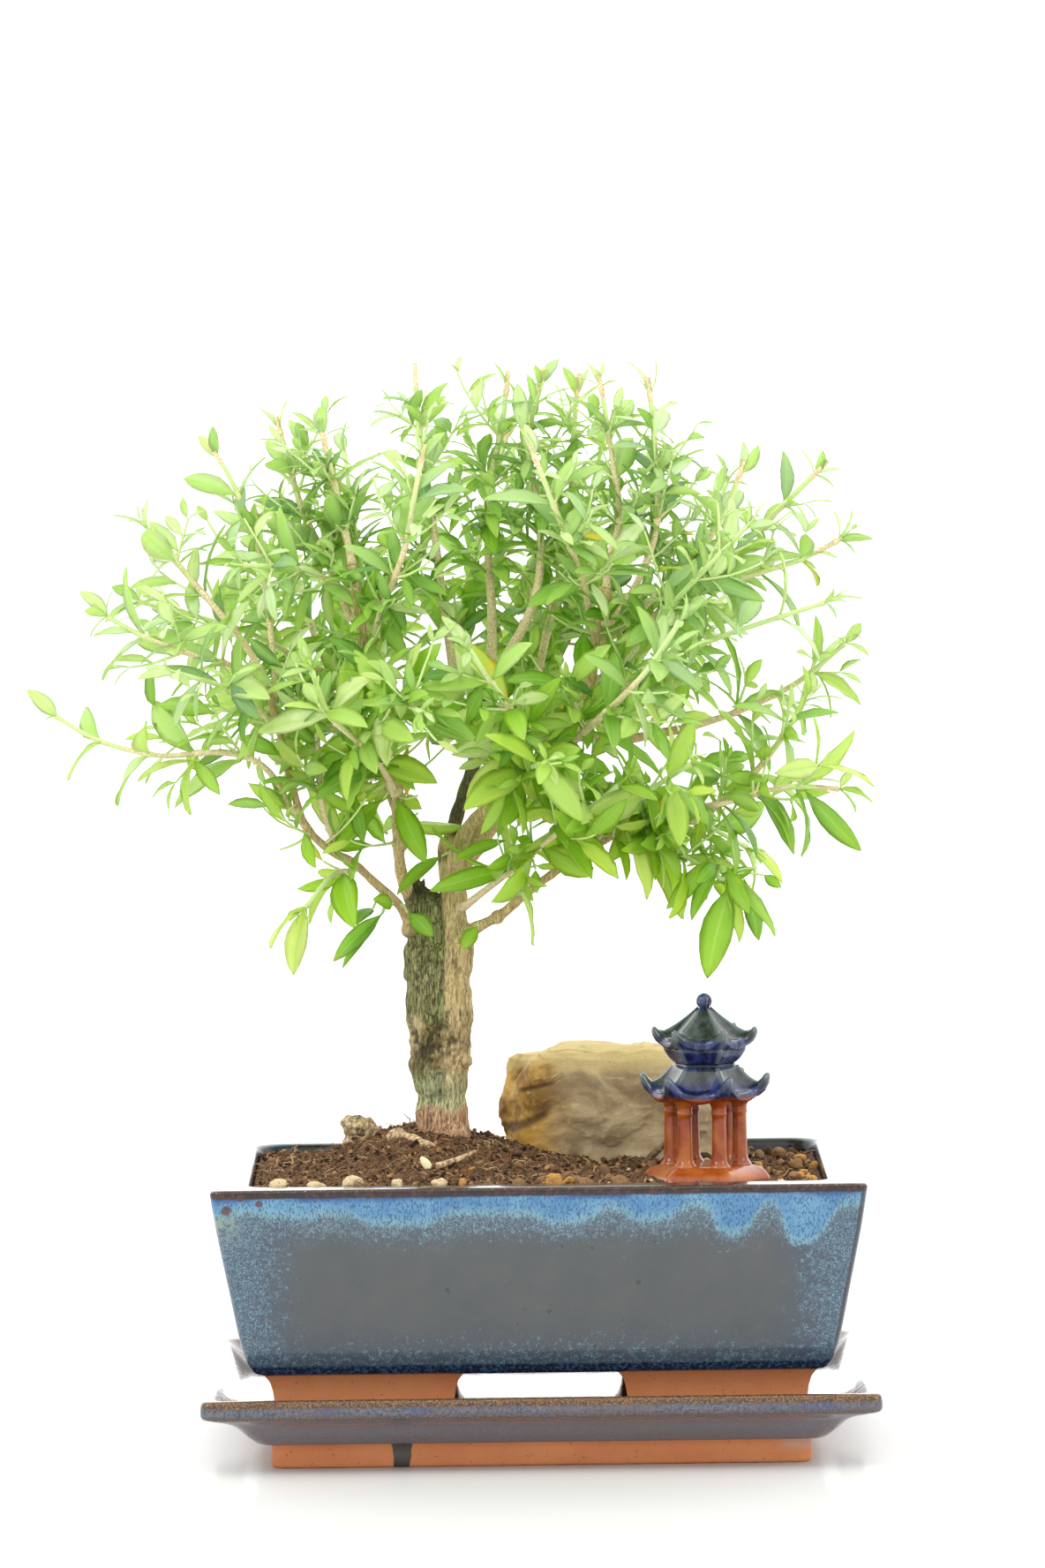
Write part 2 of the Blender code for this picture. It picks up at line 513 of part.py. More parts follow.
def build_pagoda():
    """A small fired and glazed garden ornament: plinth, six columns, two roofs and a ball."""
    pagoda = new_object("pagoda", loft("pagoda", [
        hexagon(PLINTH_RADIUS, PAGODA_SEAT + GAP), hexagon(PLINTH_RADIUS, PAGODA_SEAT + 1.6 * MM),
        hexagon(0.91 * PLINTH_RADIUS, PAGODA_SEAT + 3.8 * MM), hexagon(0.7 * PLINTH_RADIUS, PLINTH_TOP)]))
    pieces = []
    for i in range(6):
        angle = PAGODA_TURN + math.pi * i / 3
        x, y = PAGODA_AT[0] + COLUMN_RING * math.cos(angle), PAGODA_AT[1] + COLUMN_RING * math.sin(angle)
        levels = ((PLINTH_TOP - 1 * MM, 3.2), (PLINTH_TOP + 1.5 * MM, 2.45), (EAVE_LOW - 4 * MM, 2.15),
                  (EAVE_LOW + 1 * MM, 2.7))
        pieces.append(new_cutter("column", tube_mesh("column", [(x, y, z) for z, _ in levels],
                                                     [radius * MM for _, radius in levels], 1)))
    pieces.append(new_cutter("low_roof", roof_mesh("low_roof", 14 * MM, EAVE_LOW, 20.0 * MM, 5.6 * MM,
                                                   118.4 * MM, 10.2 * MM)))
    pieces.append(new_cutter("neck", loft("neck", [hexagon(9.6 * MM, 116 * MM), hexagon(9.3 * MM, 119.5 * MM),
                                                   hexagon(12.0 * MM, EAVE_HIGH + 0.5 * MM)])))
    pieces.append(new_cutter("high_roof", roof_mesh("high_roof", 12.2 * MM, EAVE_HIGH, 16.0 * MM, 6.2 * MM,
                                                    NECK_TOP, 1.9 * MM)))
    builder = bmesh.new()
    bmesh.ops.create_uvsphere(builder, u_segments=8, v_segments=6, radius=2.5 * MM,
                              matrix=Matrix.Translation((*PAGODA_AT, NECK_TOP + 1.9 * MM)))
    pieces.append(new_cutter("ball", mesh_from(builder, "ball")))
    joined(pagoda, "UNION", pieces)
    finish(pagoda, material("pagoda_glaze", (0.30, 0.10, 0.05), 0.12))


# Paths of wood


def smooth_path(points, step):
    """Places and radii about a step apart on a smooth curve through the points."""
    knots = np.array([point[:4] for point in points], float) * MM
    padded = np.vstack([2 * knots[0] - knots[1], knots, 2 * knots[-1] - knots[-2]])
    found = []
    for i in range(len(knots) - 1):
        a, b, c, d = padded[i:i + 4]
        count = max(1, round(float(np.linalg.norm(c[:3] - b[:3])) / step))
        for t in np.arange(count) / count:
            found.append(0.5 * (2 * b + (c - a) * t + (2 * a - 5 * b + 4 * c - d) * t ** 2
                                + (3 * b - a - 3 * c + d) * t ** 3))
    found.append(knots[-1])
    return np.array(found)


def limb_samples():
    """Places, radii and directions every millimetre along the fused wood, and whether it ends there."""
    rows = []
    for points in LIMBS.values():
        path = smooth_path(points, 1 * MM)
        along = np.gradient(path[:, :3], axis=0)
        at_end = np.arange(len(path)) > len(path) - 3
        along[at_end] = path[-1, :3] - path[-9, :3]
        along /= np.linalg.norm(along, axis=1)[:, None]
        path[at_end, :3] = path[-1, :3]
        rows.append(np.hstack([path, along, at_end[:, None]]))
    return np.vstack(rows)


def build_trunk():
    """Trunk and limbs, each a round bar, grown together, with a plain plug that stands in the soil."""
    bars = []
    for name, points in LIMBS.items():
        thick = name.endswith("trunk")
        path = smooth_path(points, (9 if thick else 9.5) * MM)
        bars.append(new_cutter(name, tube_mesh(name, path[:, :3], path[:, 3], 3 if thick else 1)))
    trunk = bars.pop(0)
    trunk.name = "trunk"
    CUTTERS.objects.unlink(trunk)
    PARTS.objects.link(trunk)
    trunk.hide_render = False
    trunk.display_type = "TEXTURED"
    joined(trunk, "UNION", bars)
    finish(trunk, material("bark", (0.33, 0.27, 0.19), 0.85), 60)


# Leafy stems


def unit(vector):
    return vector / max(1e-9, float(np.linalg.norm(vector)))


def seated(points, wood):
    """The stem's points with the first one moved out to the surface of the wood that it springs from."""
    first, second = np.array(points[0][:3]) * MM, np.array(points[1][:3]) * MM
    near = wood[np.argmin(np.linalg.norm(wood[:, :3] - first, axis=1))]
    place, radius, along = near[:3], near[3], near[4:7]
    out = second - place
    if near[7]:
        out = unit(along)
        start = place + out * 1.5 * GAP
    else:
        out = unit(out - along * float(out @ along))
        start = place + out * (radius + GAP)
    knee = start + out * 1.6 * MM
    rows = [(*(start / MM), points[0][3]), (*(knee / MM), points[0][3])]
    return rows + [tuple(point) for point in points[1:]]


def kept_clear(path, others):
    """The path bent away from wood that it would run into."""
    path = path.copy()
    for _ in range(6):
        for i in range(3, len(path)):
            apart = path[i, :3] - others[:, :3]
            gaps = np.linalg.norm(apart, axis=1) - others[:, 3] - path[i, 3] - 1.1 * MM
            worst = int(np.argmin(gaps))
            if gaps[worst] < 0:
                path[i, :3] += unit(apart[worst]) * -gaps[worst]
        path[3:-1, :3] = 0.5 * path[3:-1, :3] + 0.25 * (path[2:-2, :3] + path[4:, :3])
    return path


def shoot_points(tip, wood, stems):
    """A shoot's points, from the nearest free wood that lies below and at least a leaf's length away."""
    end = np.array(tip, float) * MM
    apart = np.linalg.norm(wood[:, :3] - end, axis=1)
    suits = (apart > 26 * MM) & (wood[:, 3] < 2.6 * MM) & (wood[:, 2] < end[2] + 14 * MM) & (wood[:, 7] == 0)
    for points in stems:
        suits &= np.linalg.norm(wood[:, :3] - np.array(points[0][:3]) * MM, axis=1) > 8 * MM
    start = wood[np.argmin(np.where(suits, apart, 1.0)), :3]
    middle = 0.55 * start + 0.45 * end + np.array((0, 0, 3 * MM))
    return [(*(start / MM), .9), (*(middle / MM), .85), (*(end / MM), .7)]


def on_stem(path, at):
    """The place at a share of the stem's length, and the direction of the stem there."""
    steps = np.linalg.norm(np.diff(path[:, :3], axis=0), axis=1)
    run = np.concatenate([[0], np.cumsum(steps)])
    i = min(len(steps) - 1, int(np.searchsorted(run, at * run[-1], side="right")) - 1)
    axis = unit(path[i + 1, :3] - path[i, :3])
    return path[i, :3] + axis * (at * run[-1] - run[i]), axis


def leaf_frame(path, at, turn, draw, end):
    """Where a leaf springs from a stem, and the directions of its length and of its upper face."""
    root, axis = on_stem(path, at)
    side = unit(np.cross(axis, (0.31, 0.17, 0.93)))
    other = np.cross(axis, side)
    outward = math.cos(turn) * side + math.sin(turn) * other
    lean = math.radians(draw.uniform(18, 38) if end else draw.uniform(50, 80))
    length = unit(math.cos(lean) * axis + math.sin(lean) * outward)
    droop = draw.uniform(-0.3, 0.1) + 4.0 * (root[2] - 0.245) - 14.0 * max(0, 0.2 - root[2])
    length = unit(length + np.array((0, 0, max(-1.0, min(0.2, droop)))))
    face = unit(root - CROWN_CENTRE) + np.array([draw.uniform(-0.5, 0.5) for _ in range(3)])
    face = face + np.array((0, 0, 0.65))
    face = unit(face - length * float(face @ length))
    return root, length, face


def leaf_sizes(root, at, draw, end):
    """Length and width of a leaf: larger low and inside, smaller towards a tip."""
    height = min(1.0, max(0.0, (root[2] - 0.18) / 0.14))
    lowest = min(1.0, max(0.0, (0.195 - root[2]) / 0.02))
    length = LEAF_LENGTH * (1.15 - 0.25 * height) * (1.08 - 0.28 * at ** 3) * draw.uniform(0.82, 1.18)
    if end:
        length *= 0.72 + 0.5 * lowest
    return length, length * LEAF_WIDTH * draw.uniform(0.88, 1.15)


def blade_mesh(root, along, face, length, width, grow=0.0):
    """A thin arched blade with a ribbed underside, which tapers to a point at both ends."""
    side = np.cross(along, face)
    builder = bmesh.new()
    rows = []
    for share, wide in STATIONS:
        arch = 0.10 * length * (share * (1 - share) * 4 - 0.6 * share)
        centre = root + along * length * share + face * arch
        half = 0.5 * width * wide + grow
        rib = LEAF_RIB * (1.0 if share < 0.5 else 0.85) + grow
        rows.append([builder.verts.new(point) for point in (
            centre + side * half + face * grow, centre - side * half + face * grow, centre - face * rib)])
    root_vert = builder.verts.new(root)
    tip_vert = builder.verts.new(root + along * (length + grow) - face * 0.06 * length)
    for i in range(3):
        j = (i + 1) % 3
        builder.faces.new((root_vert, rows[0][j], rows[0][i]))
        builder.faces.new((rows[0][i], rows[0][j], rows[1][j], rows[1][i]))
        builder.faces.new((rows[1][i], rows[1][j], tip_vert))
    bmesh.ops.triangulate(builder, faces=builder.faces)
    return mesh_from(builder, "blade")


def faces_of(mesh):
    """Points and triangles of a mesh, for the tests of what touches what."""
    mesh.calc_loop_triangles()
    return [tuple(vert.co) for vert in mesh.vertices], [tuple(tri.vertices) for tri in mesh.loop_triangles]


def tree_of(pairs):
    """One search tree over several meshes given as points and triangles."""
    points, triangles = [], []
    for some_points, some_triangles in pairs:
        start = len(points)
        points += some_points
        triangles += [tuple(i + start for i in triangle) for triangle in some_triangles]
    return BVHTree.FromPolygons(points, triangles)


def leaf_slots(path, bare):
    """Shares of the stem's length where pairs of leaves stand, and whether they are the last."""
    length = float(np.linalg.norm(np.diff(path[:, :3], axis=0), axis=1).sum())
    first = 0.30 * length if length > 55 * MM else 0.22 * length
    count = max(2, int((length * bare - first) / LEAF_STEP) + 1)
    spots = first + (length * bare - first) * np.arange(count) / (count - 1)
    return [(float(spot) / length, k == count - 1) for k, spot in enumerate(spots)]


def build_stems():
    """Every leafy stem, with its pairs of leaves turned a right angle from one pair to the next."""
    leaf_green = material("leaf", (0.16, 0.36, 0.10), 0.4)
    wood = limb_samples()
    plans = {name: seated(points, wood) for name, points in STEMS.items()}
    for number, tip in enumerate(SHOOT_TIPS):
        plans[f"shoot_{number + 1:02d}"] = seated(shoot_points(tip, wood, plans.values()), wood)
    others = wood[:, :4]
    paths = {}
    for name, points in plans.items():
        path = kept_clear(smooth_path(points, 2 * MM), others)
        paths[name] = path
        others = np.vstack([others, path])
    shapes = {obj.name: faces_of(obj.data) for obj in PARTS.objects}
    bars = {}
    for name, path in paths.items():
        keep = sorted({0, 1, 2, *range(5, len(path) - 3, 6), len(path) - 1})
        paths[name] = path[keep]
        bars[name] = tube_mesh(name, path[keep, :3], path[keep, 3], 0)
        shapes[name] = faces_of(bars[name])
    for order, (name, path) in enumerate(paths.items()):
        grow_leaves(name, path, bars[name], shapes, order, leaf_green)


def grow_leaves(name, path, bar_mesh, shapes, order, leaf_green):
    """Puts the leaves of one stem where they stay clear of all other pieces, and fuses them to it."""
    around = tree_of(shape for other, shape in shapes.items() if other != name)
    blades, own = [], []
    bare = 0.93 if path[-1, 2] > 0.30 else 0.99
    for slot, (at, last) in enumerate(leaf_slots(path, bare)):
        for half_turn in range(2):
            for attempt in range(7):
                draw = random.Random(f"{order} {slot} {half_turn} {attempt}")
                turn = math.pi * half_turn + math.pi / 2 * slot + 0.6 * order
                turn += draw.uniform(-0.3, 0.3) * (1 + attempt)
                frame = leaf_frame(path, at, turn, draw, last)
                length, width = leaf_sizes(frame[0], at, draw, last)
                length *= 1 - 0.06 * attempt
                wide = faces_of(blade_mesh(*frame, length, width, 0.35 * MM))
                away = (frame[0] + frame[1] * length * 0.12, frame[1], frame[2])
                outer = faces_of(blade_mesh(*away, length * 0.88, width, 0.2 * MM))
                if tree_of([wide]).overlap(around) or (own and tree_of([outer]).overlap(tree_of(own))):
                    continue
                blade = blade_mesh(*frame, length, width)
                blades.append(new_cutter("blade", blade))
                own.append(faces_of(blade))
                break
    stem = new_object(name, bar_mesh)
    joined(stem, "UNION", blades, "MANIFOLD")
    shapes[name] = faces_of(stem.data)
    finish(stem, leaf_green, 30)


build_tray()
build_pot()
build_soil()
build_loose_wood()
build_rock()
build_pagoda()
build_trunk()
build_stems()
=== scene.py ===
"""The dressed look of a small serissa tree that stands in its glazed pot and drip tray."""

import functools
import json
import math
import random

import bmesh
import bpy
import numpy as np
from mathutils import Matrix, Vector
from mathutils.kdtree import KDTree

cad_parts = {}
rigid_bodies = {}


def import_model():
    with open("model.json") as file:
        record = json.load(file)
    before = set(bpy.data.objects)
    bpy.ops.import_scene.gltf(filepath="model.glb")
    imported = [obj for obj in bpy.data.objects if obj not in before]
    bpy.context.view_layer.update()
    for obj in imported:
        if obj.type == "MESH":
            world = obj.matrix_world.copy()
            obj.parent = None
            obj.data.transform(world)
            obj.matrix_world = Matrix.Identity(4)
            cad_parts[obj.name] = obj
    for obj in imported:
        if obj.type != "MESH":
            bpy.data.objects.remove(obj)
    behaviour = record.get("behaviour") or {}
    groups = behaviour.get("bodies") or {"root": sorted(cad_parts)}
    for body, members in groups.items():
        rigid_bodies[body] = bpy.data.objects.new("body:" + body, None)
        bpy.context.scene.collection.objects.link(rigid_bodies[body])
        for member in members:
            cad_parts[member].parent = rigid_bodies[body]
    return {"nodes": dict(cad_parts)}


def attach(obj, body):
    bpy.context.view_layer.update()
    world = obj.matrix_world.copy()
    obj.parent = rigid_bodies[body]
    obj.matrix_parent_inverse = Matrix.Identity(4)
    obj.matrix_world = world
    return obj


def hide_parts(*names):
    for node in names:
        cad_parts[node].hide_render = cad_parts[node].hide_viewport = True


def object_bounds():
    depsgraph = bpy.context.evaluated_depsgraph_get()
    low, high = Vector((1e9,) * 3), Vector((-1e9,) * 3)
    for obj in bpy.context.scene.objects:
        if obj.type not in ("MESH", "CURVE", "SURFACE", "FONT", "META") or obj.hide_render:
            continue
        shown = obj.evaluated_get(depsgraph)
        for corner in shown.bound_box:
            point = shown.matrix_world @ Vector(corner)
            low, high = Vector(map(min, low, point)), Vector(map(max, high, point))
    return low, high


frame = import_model()
cad_low, cad_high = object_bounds()
MM = 0.001

# The room
# A pale seamless floor in a bright, even white surround, as in a light tent. The camera stands
# three metres away and looks slightly down at the front with a long lens.

camera_data = bpy.data.cameras.new("camera")
camera_data.sensor_width = 36
camera_data.lens = 223.26
camera_data.clip_end = 20
camera = bpy.data.objects.new("camera", camera_data)
bpy.context.scene.collection.objects.link(camera)
aim = Matrix.Rotation(-0.0027, 4, "Z") @ Matrix.Rotation(math.pi / 2 - 0.0647, 4, "X")
camera.matrix_world = Matrix.Translation((-0.011317, -3.01192, 0.40001)) @ aim @ Matrix.Rotation(-0.0124, 4, "Z")
bpy.context.scene.camera = camera
bpy.context.scene.view_settings.view_transform = "Standard"


LIT_PLACE = Vector((-0.01, 0, 0.18))


def add_softbox(name, place, size, watts):
    """A square softbox that looks at the tree."""
    box = bpy.data.lights.new(name, "AREA")
    box.size = size
    box.energy = watts
    lamp = bpy.data.objects.new(name, box)
    lamp.location = place
    lamp.rotation_euler = (LIT_PLACE - Vector(place)).to_track_quat("-Z", "Y").to_euler()
    bpy.context.scene.collection.objects.link(lamp)


add_softbox("softbox_left", (-1.1, -0.9, 1.3), 0.6, 10)
add_softbox("softbox_right", (1.2, -0.7, 0.9), 0.6, 5)


def wire(tree, kind, *inputs, output=0, named=None, **settings):
    """Adds a node, fills its sockets in order or by name, and returns one of its outputs."""
    made = tree.nodes.new(kind)
    for key, value in settings.items():
        setattr(made, key, value)
    pairs = list(enumerate(inputs)) + list((named or {}).items())
    for socket, value in pairs:
        if value is None:
            continue
        if isinstance(value, bpy.types.NodeSocket):
            tree.links.new(value, made.inputs[socket])
        else:
            made.inputs[socket].default_value = value
    return made.outputs[output]


def new_finish(name, roughness, **sockets):
    """A material with one shader, whose even values are set on its own sockets, and the place it colours."""
    made = bpy.data.materials.new(name)
    made.use_nodes = True
    for key, value in {"Roughness": roughness, **sockets}.items():
        made.node_tree.nodes["Principled BSDF"].inputs[key.replace("_", " ")].default_value = value
    return made, wire(made.node_tree, "ShaderNodeTexCoord", output=3)


def tree_of(*values):
    """The node tree that the sockets among the values belong to."""
    return next(value.id_data for value in values if isinstance(value, bpy.types.NodeSocket))


def axes_of(place):
    return wire(tree_of(place), "ShaderNodeSeparateXYZ", place).node.outputs


def calc(operation, *values):
    return wire(tree_of(*values), "ShaderNodeMath", *values, operation=operation)


def plus(*values):
    return functools.reduce(functools.partial(calc, "ADD"), values)


def ramp(value, low, high, start=0.0, end=1.0):
    """A soft step of the value between two limits."""
    return wire(tree_of(value), "ShaderNodeMapRange", value, low, high, start, end, interpolation_type="SMOOTHSTEP")


def blended(made, share, other):
    """Lays a second shader over the material's own one by a share."""
    own = made.node_tree.nodes["Principled BSDF"].outputs[0]
    both = wire(made.node_tree, "ShaderNodeMixShader", share, own, other)
    made.node_tree.links.new(both, made.node_tree.nodes["Material Output"].inputs["Surface"])
    return made


surround = bpy.data.worlds.new("surround")
surround.use_nodes = True
towards = axes_of(wire(surround.node_tree, "ShaderNodeTexCoord"))
behind = ramp(towards[1], 0.1, 0.9, 0.0, 1.3)
above = ramp(towards[2], 0.1, 0.9, 1.05, 1.6)
backdrop = surround.node_tree.nodes["Background"]
backdrop.inputs["Color"].default_value = (1.0, 0.997, 0.99, 1)
surround.node_tree.links.new(plus(behind, above), backdrop.inputs["Strength"])
bpy.context.scene.world = surround

floor_mesh = bpy.data.meshes.new("studio_floor")
floor_mesh.from_pydata([(-4, -4, 0), (4, -4, 0), (4, 9, 0), (-4, 9, 0)], [], [(0, 1, 2, 3)])
studio_floor = bpy.data.objects.new("studio_floor", floor_mesh)
bpy.context.scene.collection.objects.link(studio_floor)
floor_finish, _ = new_finish("floor_finish", 0.9, Base_Color=(0.66, 0.66, 0.645, 1))
gloss = wire(floor_finish.node_tree, "ShaderNodeBsdfAnisotropic", (1, 1, 1, 1), 0.09)
floor_mesh.materials.append(blended(floor_finish, 0.12, gloss))


# The drip tray
# A pressed clay tray, glazed above its bare foot. The glaze breaks to gold brown on the rim, pools
# blue-grey in the cove, is painted paler low down as a reflection of the floor, and has run over the foot in one
# place.

TRAY_HALF = (103.7 * MM, 81.4 * MM)
TRAY_ROWS = [   # inset from the rim, height, corner radius, bare clay, breaking edge, inside
    (22.3, 0.0, 4, 1, 0, 0), (21.6, 0.15, 4.4, 1, 0, 0), (21.2, 0.6, 4.8, 1, 0, 0), (21.1, 1.4, 5, 1, 0, 0),
    (21.1, 4.2, 5, 1, 0, 0), (21.1, 7.0, 5, 1, 0, 0), (20.8, 7.4, 5, 1, 0, 0), (19.4, 7.55, 5.4, 0, 0, 0),
    (17.3, 7.7, 6, 0, 0.1, 0), (16.5, 8.1, 6, 0, 0.2, 0), (15.5, 8.9, 6, 0, 0, 0), (14.2, 10.0, 6, 0, 0, 0),
    (12.9, 11.1, 6, 0, 0, 0), (11.9, 12.2, 6, 0, 0, 0), (10.8, 13.4, 5.6, 0, 0, 0), (9.2, 14.6, 5.2, 0, 0, 0),
    (7.2, 15.5, 4.8, 0, 0, 0), (5.0, 16.2, 4.4, 0, 0, 0), (3.0, 16.8, 4, 0, 0.2, 0), (1.4, 17.3, 3.5, 0, 0.45, 0),
    (0.5, 17.8, 3.2, 0, 0.5, 0), (0.1, 18.6, 3, 0, 0.3, 0), (0.0, 19.6, 3, 0, 0.1, 0), (0.05, 21.0, 3, 0, 0.35, 0),
    (0.2, 22.3, 3, 0, 0.9, 0), (0.6, 23.05, 3, 0, 1, 0), (1.3, 23.35, 3, 0, 1, 0), (2.4, 23.4, 3, 0, 1, 0.3),
    (3.6, 23.25, 3, 0, 0.9, 1), (4.6, 22.8, 3.4, 0, 0.6, 1), (6.4, 21.6, 4, 0, 0.3, 1), (8.4, 20.1, 4.6, 0, 0.2, 1),
    (10.2, 18.7, 5, 0, 0.2, 1), (11.8, 17.6, 5.5, 0, 0.1, 1), (13.4, 17.1, 6, 0, 0, 1), (15.4, 17.0, 6, 0, 0, 1),
    (24.0, 17.0, 6, 0, 0, 1)]


CORNER_STEPS = 8


def slab_outline(half, corner, z, straight=(64, 48)):
    """The outline of a rounded slab at one height, anticlockwise from above, with points along its sides."""
    turns = ((1, 1), (-1, 1), (-1, -1), (1, -1))
    corners = []
    for quarter, (side_x, side_y) in enumerate(turns):
        middle = (side_x * (half[0] - corner), side_y * (half[1] - corner))
        angles = [math.pi / 2 * (quarter + step / CORNER_STEPS) for step in range(CORNER_STEPS + 1)]
        corners.append([(middle[0] + corner * math.cos(a), middle[1] + corner * math.sin(a)) for a in angles])
    outline = []
    for quarter in range(4):
        end, start = corners[quarter][-1], corners[(quarter + 1) % 4][0]
        count = straight[quarter % 2]
        outline += corners[quarter]
        outline += [(end[0] + (start[0] - end[0]) * k / count, end[1] + (start[1] - end[1]) * k / count)
                    for k in range(1, count)]
    return np.array([(x, y, z) for x, y in outline])


def lofted(name, rings, by_ring=None):
    """A closed shell through rings of equal length, with a value painted on each ring for the shader."""
    around = len(rings[0])
    faces = []
    for row in range(len(rings) - 1):
        for i in range(around):
            j = (i + 1) % around
            faces.append((row * around + i, row * around + j, (row + 1) * around + j, (row + 1) * around + i))
    faces.append(tuple(range(around))[::-1])
    faces.append(tuple(range((len(rings) - 1) * around, len(rings) * around)))
    mesh = bpy.data.meshes.new(name)
    mesh.from_pydata(np.vstack(rings).tolist(), [], faces)
    for key, values in (by_ring or {}).items():
        painted(mesh, key, np.repeat(np.array(values, np.float32), around))
    mesh.shade_smooth()
    return mesh


def painted(mesh, name, values, kind="FLOAT", field="value"):
    """Writes one value for each point of the mesh."""
    layer = mesh.attributes.get(name) or mesh.attributes.new(name, kind, "POINT")
    layer.data.foreach_set(field, np.asarray(values, np.float32).ravel())


def settled(name, mesh, slot, *nodes, finish=None):
    """Puts a finished mesh in the scene in place of CAD nodes and lets it ride on the root."""
    piece = bpy.data.objects.new(name, mesh)
    bpy.context.scene.collection.objects.link(piece)
    if finish:
        mesh.materials.clear()
        mesh.materials.append(finish)
    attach(piece, "root")
    if nodes:
        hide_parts(*nodes)


def inset(half, amount):
    return (half[0] - amount * MM, half[1] - amount * MM)


tray_rings = [slab_outline(inset(TRAY_HALF, row[0]), row[2] * MM, row[1] * MM) for row in TRAY_ROWS]
tray_mesh = lofted("glazed_tray", tray_rings, {
    name: [row[column] for row in TRAY_ROWS] for name, column in (("clay", 3), ("breaking", 4), ("inside", 5))})


def paint_value(place, name):
    return wire(tree_of(place), "ShaderNodeAttribute", attribute_name=name, output=2)


def times(*values):
    return functools.reduce(functools.partial(calc, "MULTIPLY"), values)


def less(value, amount):
    return calc("SUBTRACT", value, amount)


def colour(red, green, blue, share=0.5):
    """What a surface sends back when it reads as this colour, 0 to 255, under lights as bright as these."""
    linear = (((c / 255 + 0.055) / 1.055) ** 2.4 if c > 10 else c / 3294 for c in (red, green, blue))
    return tuple(share * c for c in linear) + (1,)


def matt(red, green, blue):
    """The same for a rough surface, which gets no shine on top of its own colour."""
    return colour(red, green, blue, 0.9)


def mixed(share, first, second, strength=None):
    """The first colour with the second laid over it by a share, itself scaled by a strength."""
    share = share if strength is None else times(share, strength)
    return wire(tree_of(share, first, second), "ShaderNodeMix", data_type="RGBA", output=2,
                named={0: share, 6: first, 7: second})


def noise(place, scale, detail, rough=0.5, distortion=0.0):
    return wire(tree_of(place), "ShaderNodeTexNoise", place,
                named={"Scale": scale, "Detail": detail, "Roughness": rough, "Distortion": distortion})


def finished(made, tone, height=None, distance=0.0, strength=1.0, **sockets):
    """The material with its colour, its fine relief in millimetres and what else varies over it."""
    shader = made.node_tree.nodes["Principled BSDF"]
    sockets["Base_Color"] = tone
    if height is not None:
        sockets["Normal"] = wire(made.node_tree, "ShaderNodeBump",
                                 named={"Strength": strength, "Distance": distance * MM, "Height": height})
    for key, value in sockets.items():
        made.node_tree.links.new(value, shader.inputs[key.replace("_", " ")])
    return made


def clay_colour(place):
    """Bare fired clay: orange, cloudy, with small dark pits."""
    cloud = noise(place, 55, 4, 0.6)
    pits = ramp(noise(place, 1100, 1), 0.70, 0.76)
    tone = mixed(cloud, matt(216, 126, 74), matt(246, 166, 112))
    return mixed(pits, tone, matt(110, 60, 40), 0.6)


def build_tray_finish():
    """Mottled dark glaze over bare clay, gold brown where it breaks, with a run and a smear on the front."""
    made, place = new_finish("tray_glaze", 0.16, Coat_Weight=0.4, Coat_Roughness=0.04, IOR=1.5)
    axes = axes_of(place)
    height = times(axes[2], 1000)
    mottle = noise(place, 900, 5, 0.75)
    cloud = noise(place, 34, 3, 0.6)
    speck = ramp(noise(place, 1500, 2, 0.6), 0.56, 0.66)
    pool = mixed(ramp(mottle, 0.38, 0.62), colour(80, 84, 100), colour(140, 144, 156))
    pool = mixed(ramp(cloud, 0.45, 0.62), pool, colour(122, 110, 118), 0.6)
    # painted reflection: the glaze below the rim's upper band is painted paler, where it mirrors the bright floor
    pool = mixed(ramp(height, 18.5, 15.0), pool, colour(168, 156, 160), 0.75)
    bluish = times(ramp(noise(place, 60, 2), 0.52, 0.64), ramp(height, 17.0, 20.0))
    pool = mixed(bluish, pool, colour(76, 88, 150), 0.5)
    pool = mixed(speck, pool, colour(166, 172, 190), 0.5)
    edge = paint_value(place, "breaking")
    broken = ramp(plus(edge, times(less(mottle, 0.5), 1.6)), 0.22, 0.66)
    gold = mixed(ramp(noise(place, 1900, 3, 0.7), 0.42, 0.66), colour(78, 46, 26), colour(196, 142, 70))
    glaze = mixed(broken, pool, gold)
    inner = mixed(ramp(mottle, 0.4, 0.7), colour(58, 38, 34), colour(112, 84, 78))
    glaze = mixed(paint_value(place, "inside"), glaze, inner, 0.85)
    clay = clay_colour(place)
    worn = ramp(plus(height, noise(place, 300, 3)), 0.75, 0.35)
    clay = mixed(worn, clay, colour(66, 44, 36))
    # the run over the foot and the smear at the right corner, both on the front
    along = times(axes[0], 1000)
    wave = times(less(noise(place, 160, 2), 0.5), 3.0)
    run = calc("ABSOLUTE", plus(along, 43.0, wave))
    run_wide = plus(3.0, calc("POWER", times(height, 0.13), 6.0))
    ran = ramp(less(run_wide, run), 0.0, 0.5)
    smear = calc("ABSOLUTE", plus(less(along, 79.0), wave))
    smeared = times(ramp(smear, 8.0, 2.0), ramp(height, 3.0, 6.0))
    front = ramp(axes[1], -0.050, -0.056)
    covered = times(ran, front)
    clay = mixed(covered, clay, colour(98, 84, 72))
    clay = mixed(times(smeared, front), clay, matt(214, 176, 160), 0.7)
    edge_noise = times(less(noise(place, 130, 2), 0.5), 0.9)
    bare = ramp(plus(paint_value(place, "clay"), edge_noise), 0.42, 0.52)
    dry = times(bare, less(1.0, covered))
    return finished(made, mixed(bare, glaze, clay), plus(noise(place, 240, 4), times(cloud, 1.5)), 0.12, 0.6,
                    Roughness=plus(0.1, times(dry, 0.68)), Coat_Weight=times(less(1.0, dry), 0.5))


settled("glazed_tray", tray_mesh, "tray_glaze", "drip_tray", finish=build_tray_finish())


